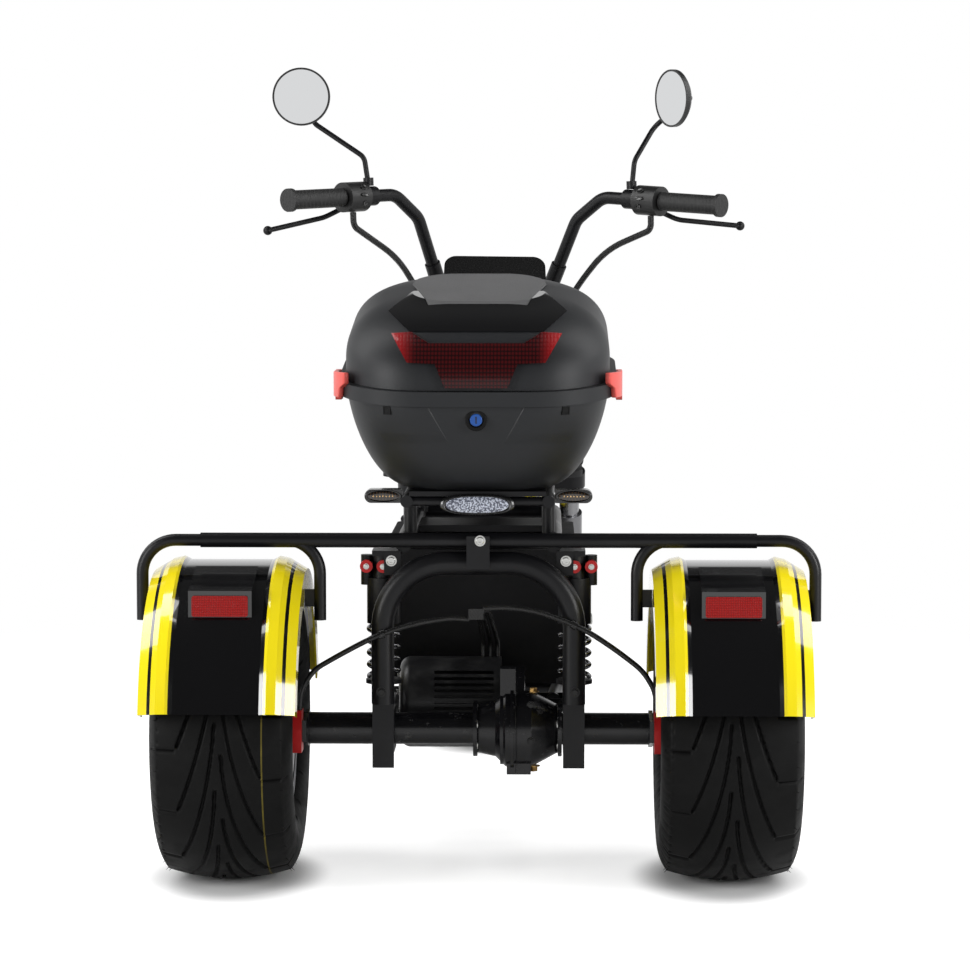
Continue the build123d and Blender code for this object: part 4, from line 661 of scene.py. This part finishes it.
# The lock's barrel is blue, in a sunk black bezel. Its key slot is only painted near black on the barrel,
# a painted shade for the slot's recess.
lock_blue = Finish("lock_blue", (0.010, 0.080, 0.34), 0.3)
lock_blue.feed("Roughness", 0.28 + 0.1 * lock_blue.place.noise(500, 2))
lock_low, lock_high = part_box("box_lock")
lock_middle = Vector((0, lock_high.y, (lock_low.z + lock_high.z) / 2))
key_x = lock_blue.x.maths("ABSOLUTE")
key_z = (lock_blue.z - lock_middle.z).maths("ABSOLUTE")
# The key slot: painted shade in near black, with no cut in the mesh.
painted_slot_shade = (key_x < 0.0010) * (key_z < 0.005)
lock_blue.feed("Base Color", painted_slot_shade.choose((0.012, 0.085, 0.36, 1), (0.002, 0.002, 0.004, 1)))


def stepped_cap(name, finish, body, place, half_x, half_z, steps, square=2.0):
    """An oval cap that faces back: a round block whose face is inset and raised step by step, each inset
    a share of its radius, then drawn out to the oval and, above two, squared at its corners."""
    fresh()
    bpy.ops.mesh.primitive_cylinder_add(vertices=56, radius=1, depth=steps[0][1])
    piece = bpy.context.object
    piece.location = (0, 0, steps[0][1] / 2)
    settle(piece, Matrix.Identity(4))
    pick(lambda centre, normal: normal.z > 0.9)
    for inset, rise in steps[1:]:
        bpy.ops.mesh.inset(thickness=inset)
        bpy.ops.transform.translate(value=(0, 0, rise))
    bpy.ops.object.mode_set(mode="OBJECT")
    for vertex in piece.data.vertices:
        reach = vertex.co.to_2d().length
        if reach > 0:
            corner = abs(vertex.co.x / reach) ** square + abs(vertex.co.y / reach) ** square
            stretch = corner ** (-1 / square)
            vertex.co = (vertex.co.x * stretch * half_x, vertex.co.y * stretch * half_z, vertex.co.z)
    settle(piece, aim(place, back))
    piece.name = name
    bpy.ops.object.shade_smooth_by_angle(angle=radians(35))
    piece.data.materials.append(finish.material)
    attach(piece, body)
    return piece


# Near-black plastic: the lock bezel's own colour, and painted shade on the band's two sockets.
black_plastic_and_slot_shade = Finish("black_plastic_and_slot_shade", (0.002, 0.002, 0.002), 0.6, Specular_IOR_Level=0.2)
black_plastic_and_slot_shade.feed("Roughness", 0.55 + 0.2 * black_plastic_and_slot_shade.place.noise(300, 2))
bezel = stepped_cap("lock_bezel", black_plastic_and_slot_shade, "frame", lock_middle, 0.0158, 0.0158,
                    [(0, 0.0060), (0.08, 0.0012), (0.22, 0.0), (0.05, -0.0030)])
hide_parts("box_lock")
stepped_cap("lock_barrel", lock_blue, "frame", lock_middle, 0.0088, 0.0088, [(0, 0.0068), (0.10, 0.0008)])

# Two square sockets with sunk middles sit on the band beside the lock. Their near-black plastic is a
# painted shade for the dark recesses there.
socket_x, socket_z = 0.128, 0.7130
for side, name in ((-1, "left"), (1, "right")):
    fresh()
    bpy.ops.mesh.primitive_cylinder_add(vertices=4, radius=0.0085, depth=0.0030, rotation=(0, 0, pi / 4))
    slot = settle(bpy.context.object, Matrix.Identity(4))
    pick(lambda centre, normal: normal.z > 0.9)
    bpy.ops.mesh.inset(thickness=0.0014)
    bpy.ops.mesh.extrude_region_move(TRANSFORM_OT_translate={"value": (0, 0, -0.0007)})
    bpy.ops.object.mode_set(mode="OBJECT")
    band_face = touch("box_base", (side * socket_x, behind, socket_z), (0, 1, 0))
    settle(slot, aim(band_face, (side * 0.48, -0.87, -0.1)))
    slot.name = f"band_shade_socket_{name}"
    slot.data.materials.append(black_plastic_and_slot_shade.material)
    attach(slot, "frame")

# The lamp across the lid and the reflectors on the fenders are deep red, moulded inside in prisms.
lamp_red = Finish("lamp_red", (0.05, 0.002, 0.004), 0.35, Specular_IOR_Level=0.2, Coat_Weight=0.35,
                  Coat_Roughness=0.05)
prism_x = (lamp_red.x * (2 * pi / 0.010)).maths("SINE").maths("ABSOLUTE")
prism_z = (lamp_red.z * (2 * pi / 0.012)).maths("SINE").maths("ABSOLUTE")
prisms = prism_x * prism_z
# The lamp's ends are a brighter red, a painted highlight along its border.
painted_end_highlight = lamp_red.x.maths("ABSOLUTE").ramp(0.085, 0.120)
deep_red = prisms.ramp(0.05, 0.75).choose((0.010, 0.0005, 0.001, 1), (0.055, 0.002, 0.003, 1))
lamp_red.feed("Base Color", painted_end_highlight.choose(deep_red, (0.30, 0.004, 0.006, 1)))
lamp_red.bump(prisms, 0.0006, 0.4)
lamp_red.coat("tail_lamp")
reflector = Finish("reflector_red", (0.4, 0.004, 0.004), 0.25, Specular_IOR_Level=0.3)
cube_x = (reflector.x * (2 * pi / 0.005)).maths("SINE").maths("ABSOLUTE")
cube_z = (reflector.z * (2 * pi / 0.005)).maths("SINE").maths("ABSOLUTE")
cubes = cube_x * cube_z
reflector.feed("Base Color", cubes.ramp(0.1, 0.8).choose((0.20, 0.002, 0.002, 1), (0.48, 0.006, 0.004, 1)))
reflector.bump(cubes, 0.0008, 0.5)
reflector.coat("fender_reflectors")


# ------------------------------------------------------------ seat
# A long cushion of moulded foam under black grained leathercloth, with a welt round its edge. The cover
# is a block, crowned and narrowed towards its nose, that swells as cloth over its foam.
leathercloth = Finish("seat_leathercloth", (0.008, 0.008, 0.008), 0.46, Specular_IOR_Level=0.30)
pebble = leathercloth.place.node("ShaderNodeTexVoronoi", {}, {"Vector": leathercloth.place, "Scale": 520})
creases = leathercloth.place.noise(45, 6, 0.65)
leathercloth.feed("Roughness", 0.36 + 0.22 * creases)
welt_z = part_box("seat_cushion")[0].z + 0.034
welt = 1 - (leathercloth.z - welt_z).maths("ABSOLUTE").ramp(0.0008, 0.0030)
leathercloth.bump(pebble * 0.2 + creases * 0.17 - welt, 0.0022, 0.5)


def shrunk_block(node, shrink):
    """A plain block in the space of a CAD node, a little smaller all round."""
    low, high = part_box(node)
    middle, size = (low + high) / 2, high - low
    fresh()
    bpy.ops.mesh.primitive_cube_add(size=1, location=middle)
    piece = bpy.context.object
    piece.scale = (size.x - 2 * shrink, size.y - 2 * shrink, size.z - 2 * shrink)
    settle(piece, Matrix.Identity(4))
    return piece


cushion_rise = 0.006
cushion = shrunk_block("seat_cushion", cushion_rise)
pick(lambda centre, normal: True)
bpy.ops.mesh.subdivide(number_cuts=9, smoothness=0)
bpy.ops.object.mode_set(mode="OBJECT")
cushion_low, cushion_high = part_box("seat_cushion")
cushion_middle = (cushion_low + cushion_high) / 2
half_width = (cushion_high.x - cushion_low.x) / 2
half_length = (cushion_high.y - cushion_low.y) / 2
seat_taper = 0.16
seat_crown = 0.018
for vertex in cushion.data.vertices:
    along = (vertex.co.y - cushion_middle.y) / half_length
    side = (vertex.co.x - cushion_middle.x) / half_width
    height = (vertex.co.z - cushion_low.z) / (cushion_high.z - cushion_low.z)
    vertex.co.x *= 1 - seat_taper * max(0.0, along) ** 2
    fall = abs(side) ** 3 + max(0.0, along) ** 4 + 0.6 * max(0.0, -along) ** 6
    vertex.co.z -= seat_crown * height * fall
bevel = cushion.modifiers.new("edges", "BEVEL")
bevel.width = 0.018
bevel.segments = 4
bevel.angle_limit = radians(50)
fresh()
cushion.select_set(True)
bpy.context.view_layer.objects.active = cushion
bpy.ops.object.modifier_apply(modifier="edges")
remesh = cushion.modifiers.new("cloth_mesh", "REMESH")
remesh.mode = "VOXEL"
remesh.voxel_size = 0.0055
bpy.ops.object.modifier_apply(modifier="cloth_mesh")
cushion_rest = [vertex.co.copy() for vertex in cushion.data.vertices]
cloth = cushion.modifiers.new("stuffing", "CLOTH")
cloth.settings.use_pressure = True
cloth.settings.uniform_pressure_force = 4
cloth.settings.effector_weights.gravity = 0
cloth.settings.tension_stiffness = 12
cloth.settings.compression_stiffness = 12
for step in range(1, 21):
    bpy.context.scene.frame_set(step)
bpy.ops.object.modifier_apply(modifier="stuffing")
bpy.context.scene.frame_set(1)
for vertex, rest in zip(cushion.data.vertices, cushion_rest):
    moved = vertex.co - rest
    if moved.length > cushion_rise:
        vertex.co = rest + moved * (cushion_rise / moved.length)
    vertex.co.z = max(vertex.co.z, cushion_low.z + 0.0005)
smooth = cushion.modifiers.new("smooth", "SUBSURF")
smooth.levels = 1
smooth.render_levels = 1
bpy.ops.object.modifier_apply(modifier="smooth")
bpy.ops.object.shade_smooth()
cushion.name = "seat_cushion_cover"
cushion.data.materials.clear()
cushion.data.materials.append(leathercloth.material)
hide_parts("seat_cushion")
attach(cushion, "frame")


# ------------------------------------------------------------ lamps and signals under the box
# The rear lamp is a black oval housing with a lens hammered in small dimples.
lamp_black = Finish("lamp_black", (0.006, 0.006, 0.006), 0.22, Coat_Weight=0.5, Coat_Roughness=0.1)
lamp_black.feed("Roughness", 0.2 + 0.12 * lamp_black.place.noise(400, 2))
lamp_black.coat("rear_signals", "display")

hammered = Finish("hammered_lens", (0.40, 0.43, 0.50), 0.30, Metallic=0.2, Coat_Weight=0.4,
                  Coat_Roughness=0.05)
dimples = hammered.place.node("ShaderNodeTexVoronoi", {}, {"Vector": hammered.place, "Scale": 420})
speckle = hammered.place.noise(380, 2).ramp(0.46, 0.56)
hammered.feed("Base Color", speckle.choose((0.10, 0.11, 0.15, 1), (0.62, 0.66, 0.76, 1)))
hammered.bump(dimples, 0.0005, 0.7)
lamp_low, lamp_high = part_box("rear_lamp")
lamp_back = Vector((0, lamp_high.y, (lamp_low.z + lamp_high.z) / 2))
lamp_body = lamp_high.y - lamp_low.y - 0.006
housing = stepped_cap("rear_lamp_housing", lamp_black, "frame", lamp_back, 0.0540, 0.0150,
                      [(0, lamp_body), (0.05, 0.0022), (0.05, 0.0006), (0.05, -0.0014)], 2.6)
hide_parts("rear_lamp")
lens_back = lamp_back - Vector((0, lamp_body, 0))
stepped_cap("rear_lamp_lens", hammered, "frame", lens_back, 0.0455, 0.0118,
            [(0, 0.0026), (0.08, 0.0010), (0.16, 0.0010), (0.20, 0.0006), (0.26, 0.0002)], 2.4)

# Each signal is an oval rim round a smoked lens, with a row of seven amber diodes set in its face.
smoked = Finish("smoked_lens", (0.020, 0.012, 0.008), 0.10, Coat_Weight=1.0, Coat_Roughness=0.04)
flutes = (smoked.x * (2 * pi / 0.0046)).maths("SINE")
smoked.feed("Base Color", flutes.ramp(-0.2, 0.9).choose((0.012, 0.008, 0.006, 1), (0.060, 0.032, 0.014, 1)))
amber = Finish("amber_diodes", (0.95, 0.62, 0.26), 0.3)
amber.feed("Base Color", amber.place.noise(220, 2).choose((0.90, 0.50, 0.16, 1), (0.98, 0.78, 0.46, 1)))
signal_low, signal_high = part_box("rear_signals")
signal_x = 0.1411
diode_gap = 0.0048
for side, name in ((-1, "left"), (1, "right")):
    face = Vector((side * signal_x, signal_low.y + 0.0004, (signal_low.z + signal_high.z) / 2))
    stepped_cap(f"signal_rim_{name}", lamp_black, "frame", face, 0.0278, 0.0099,
                [(0, 0.0010), (0.04, 0.0010), (0.10, 0.0), (0.04, -0.0016)])
    stepped_cap(f"signal_lens_{name}", smoked, "frame", face, 0.0245, 0.0068,
                [(0, 0.0007), (0.12, 0.0006), (0.30, 0.0003)])
    fresh()
    bpy.ops.mesh.primitive_ico_sphere_add(subdivisions=2, radius=0.0019)
    diode = settle(bpy.context.object, Matrix.Scale(0.7, 4))
    diodes = []
    for step in range(-3, 4):
        place = face + Vector((diode_gap * step, -0.0018, 0.0))
        diodes.append(copied(diode, Matrix.Translation(place)))
    bpy.data.objects.remove(diode)
    row = joined(diodes, f"signal_diodes_{name}")
    row.data.materials.append(amber.material)
    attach(row, "frame")


# ------------------------------------------------------------ springs, dampers, calipers
# Chromed coil springs, stanchions and front axle, red anodised calipers and damper knobs with a screw in
# each, and fork sliders of bare alloy.
chrome = Finish("spring_chrome", (0.32, 0.32, 0.33), 0.18, Metallic=1.0)
chrome.feed("Roughness", 0.14 + 0.14 * chrome.place.noise(120, 3))
chrome.coat("springs", "fork_stanchions", "front_axle")
caliper_red = Finish("caliper_red", (0.45, 0.008, 0.008), 0.28, Metallic=0.3)
caliper_red.feed("Roughness", 0.24 + 0.16 * caliper_red.place.noise(260, 3))
caliper_red.coat("rear_calipers", "damper_knobs")
knob_z = 0.471
knob_places = []
for x, y in ((0.143, -0.6512), (0.168, -0.6487)):
    for side in (-1, 1):
        knob_places.append(((side * x, y, knob_z), back))
screws("knob_screws", plated, "frame", 0.0032, 16, knob_places)
fork_alloy = Finish("fork_alloy", (0.25, 0.25, 0.26), 0.35, Metallic=1.0)
fork_alloy.feed("Roughness", 0.3 + 0.14 * fork_alloy.place.noise(300, 3))
fork_alloy.coat("fork_sliders")


# ------------------------------------------------------------ handlebar controls and mirrors
# Ribbed rubber grips, control pods of matt plastic with three buttons each that face the rider, and
# round mirrors in black shells.
grip_rubber = Finish("grip_rubber", (0.012, 0.012, 0.012), 0.55)
grip_rubber.feed("Roughness", 0.48 + 0.14 * grip_rubber.place.noise(200, 3))
grip_rubber.bump((grip_rubber.x * (2 * pi / 0.006)).maths("SINE").ramp(-0.5, 0.5), 0.0007, 0.5)
grip_rubber.coat("grips")
pod_plastic = Finish("pod_plastic", (0.010, 0.010, 0.010), 0.38)
pod_plastic.feed("Roughness", 0.34 + 0.12 * pod_plastic.place.noise(700, 2))
pod_plastic.bump(pod_plastic.place.noise(1100, 2), 0.0003, 0.3)
pod_plastic.coat("control_pods", "mirror_shells")

# A button's distance along its pod, its height round it in degrees, and its half width and half height.
button_kinds = ((0.006, 38, 0.0065, 0.0045), (0.004, 8, 0.0080, 0.0034), (0.008, -24, 0.0045, 0.0045))
grip_ends = {"left": Vector((-0.255, 0.1382, 1.0302)), "right": Vector((0.3028, 0.1827, 1.0237))}
inward_ways = {"left": Vector((0.674, 0.737, 0.047)), "right": Vector((-0.781, 0.621, 0.064))}
pod_middle = 0.027
for side, name in ((-1, "left"), (1, "right")):
    inward = inward_ways[name]
    rider = Vector((inward.y, -inward.x, 0)) * (-side)
    middle = grip_ends[name] + inward * pod_middle
    buttons = []
    for along, lift, half_x, half_z in button_kinds:
        out = (rider * cos(radians(lift)) + Vector((0, 0, 1)) * sin(radians(lift))).normalized()
        face = touch("control_pods", middle + inward * along + out * 0.06, -out)
        button = stepped_cap("pod_button", lamp_black, "steering", Vector((0, 0, 0)), half_x, half_z,
                             [(0, 0.0022), (0.12, 0.0008), (0.20, -0.0004)], 2.6)
        settle(button, aim(face - out * 0.0006, out) @ aim((0, 0, 0), back).inverted())
        buttons.append(button)
    row = joined(buttons, f"pod_buttons_{name}")
    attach(row, "steering")

silvering = Finish("mirror_glass", (0.80, 0.81, 0.82), 0.02, Metallic=1.0)
silvering.feed("Roughness", 0.015 + 0.02 * silvering.place.noise(12, 2))
silvering.coat("mirror_glasses")


# ------------------------------------------------------------ hoses and cables
# The hoses and cables run in split conduit of black plastic, moulded in fine rings. The headlight has a
# pale lens with upright flutes.
conduit = Finish("conduit_plastic", (0.008, 0.008, 0.008), 0.24)
faded = conduit.place.noise(40, 3)
conduit.feed("Base Color", faded.choose((0.005, 0.005, 0.005, 1), (0.014, 0.014, 0.014, 1)))
rings = ((conduit.z * 0.7 - conduit.x.maths("ABSOLUTE")) * (2 * pi / 0.0045)).maths("SINE").ramp(-0.5, 0.5)
conduit.bump(rings, 0.0018, 0.9)
conduit.coat("rear_hoses", "motor_cables", "control_cables")
lens_clear = Finish("headlight_lens", (0.60, 0.61, 0.63), 0.08, Coat_Weight=1.0, Coat_Roughness=0.03)
fluting = (lens_clear.x * (2 * pi / 0.009)).maths("SINE")
lens_clear.feed("Base Color", fluting.ramp(-0.8, 0.8).choose((0.42, 0.43, 0.46, 1), (0.78, 0.79, 0.81, 1)))
lens_clear.bump(fluting, 0.0008, 0.6)
lens_clear.coat("headlight_lens")


# ------------------------------------------------------------ floor, light and camera
# A pale studio: a floor that runs out to white, with a painted shadow oval under each wheel in which its
# real shadow shows, a white wall that stands higher ahead, a dark ceiling, soft lamps high and low on
# both sides, and a long lens.
def rays(tree):
    """Three masks of the rays that arrive: from the lens or through glass, off a gloss, and the rest."""
    paths = tree.nodes.new("ShaderNodeLightPath").outputs
    direct = Wire(paths["Is Camera Ray"]).maths("MAXIMUM", Wire(paths["Is Transmission Ray"]))
    glossy = Wire(paths["Is Glossy Ray"]) * (1 - direct)
    return direct, glossy, 1 - direct.maths("MAXIMUM", glossy)


backdrop = Finish("studio_floor", (0.8, 0.8, 0.8), 0.9, Specular_IOR_Level=0.0, Emission_Strength=1.0)
direct, glossy, scattered = rays(backdrop.tree)
backdrop.feed("Base Color", scattered.choose((0.85, 0.85, 0.85, 1), (0.35, 0.35, 0.35, 1)))

# Seen from the lens the floor glows, but not in an oval round each tyre's foot. Each oval is a painted
# shadow, darker than the glowing floor round it, and the tyre's own shadow shows in it.
foot_half_x, foot_half_y = 0.135, 0.20
shadow_ovals = []
for wheel in ("left", "right", "front"):
    foot = joint_at[f"{wheel}_wheel_spin"]
    wide = (backdrop.x - foot.x) * (1 / foot_half_x)
    long = (backdrop.y - foot.y) * (1 / foot_half_y)
    shadow_ovals.append(1 - (wide * wide + long * long).ramp(0.35, 1.3))
# The painted shadow ovals under the three tyres, as one mask.
painted_shadow = shadow_ovals[0].maths("MAXIMUM", shadow_ovals[1]).maths("MAXIMUM", shadow_ovals[2])
glow = painted_shadow.choose((0.62, 0.62, 0.62, 1), (0.0, 0.0, 0.0, 1))
backdrop.feed("Emission Color", direct.choose((0.0, 0.0, 0.0, 1), glow))

# Further out it turns to plain white.
white = direct.node("ShaderNodeEmission", {}, {"Color": (1, 1, 1, 1), "Strength": 1.0})
away = backdrop.place.node("ShaderNodeVectorMath", {"operation": "LENGTH"}, {0: backdrop.place}, 1)
mixed = white.node("ShaderNodeMixShader", {}, {0: away.ramp(1.3, 2.6) * (1 - scattered),
                                               1: Wire(backdrop.shader.outputs[0]), 2: white})
backdrop.tree.links.new(mixed.socket, backdrop.tree.nodes["Material Output"].inputs["Surface"])

fresh()
bpy.ops.mesh.primitive_plane_add(size=60)
floor = bpy.context.object
floor.name = "studio_floor"
floor.data.materials.append(backdrop.material)

world = bpy.data.worlds.new("studio")
bpy.context.scene.world = world
world.use_nodes = True
direct, glossy, scattered = rays(world.node_tree)
direction = Wire(world.node_tree.nodes.new("ShaderNodeTexCoord").outputs["Generated"])
ahead = direction.node("ShaderNodeSeparateXYZ", {}, {0: direction}, 1).ramp(-0.1, 0.5)
height = direction.node("ShaderNodeSeparateXYZ", {}, {0: direction}, 2)
wall = 1 - (height - 0.3 * ahead).ramp(0.10, 0.22)
sky = world.node_tree.nodes["Background"]
sky.inputs["Color"].default_value = (1, 1, 1, 1)
sky_strength = direct + glossy * (0.05 + 0.8 * wall) + scattered * 0.42
world.node_tree.links.new(sky_strength.socket, sky.inputs["Strength"])


def soft_lamp(name, place, target, width, height, power):
    """A wide flat lamp at a place that faces a target."""
    bpy.ops.object.light_add(type="AREA", location=place)
    lamp = bpy.context.object
    lamp.name = name
    lamp.data.shape = "RECTANGLE"
    lamp.data.size = width
    lamp.data.size_y = height
    lamp.data.energy = power
    lamp.rotation_euler = (Vector(target) - Vector(place)).to_track_quat("-Z", "Y").to_euler()


for side, name in ((-1, "left"), (1, "right")):
    soft_lamp(f"lamp_high_{name}", (side * 1.9, -0.2, 2.4), (0.0, -0.1, 0.5), 1.0, 2.4, 34)
    soft_lamp(f"lamp_low_{name}", (side * 2.3, -2.1, 1.1), (side * 0.2, -0.4, 0.5), 0.9, 1.3, 38)

# The lens stands far behind, a little to the right, and looks slightly down and to the left.
rear_axle = joint_at["left_wheel_spin"]
lens_x, lens_away, lens_z = 0.0997, 4.614, 0.9553
look_down, look_left = 4.504, 1.126
bpy.ops.object.camera_add()
camera = bpy.context.object
camera.data.sensor_width = 36
camera.data.lens = 115.0
camera.data.clip_end = 100
camera.location = (lens_x, rear_axle.y - lens_away, lens_z)
camera.rotation_euler = (radians(90 - look_down), 0, radians(look_left))
bpy.context.scene.camera = camera
bpy.context.scene.view_settings.view_transform = "Standard"
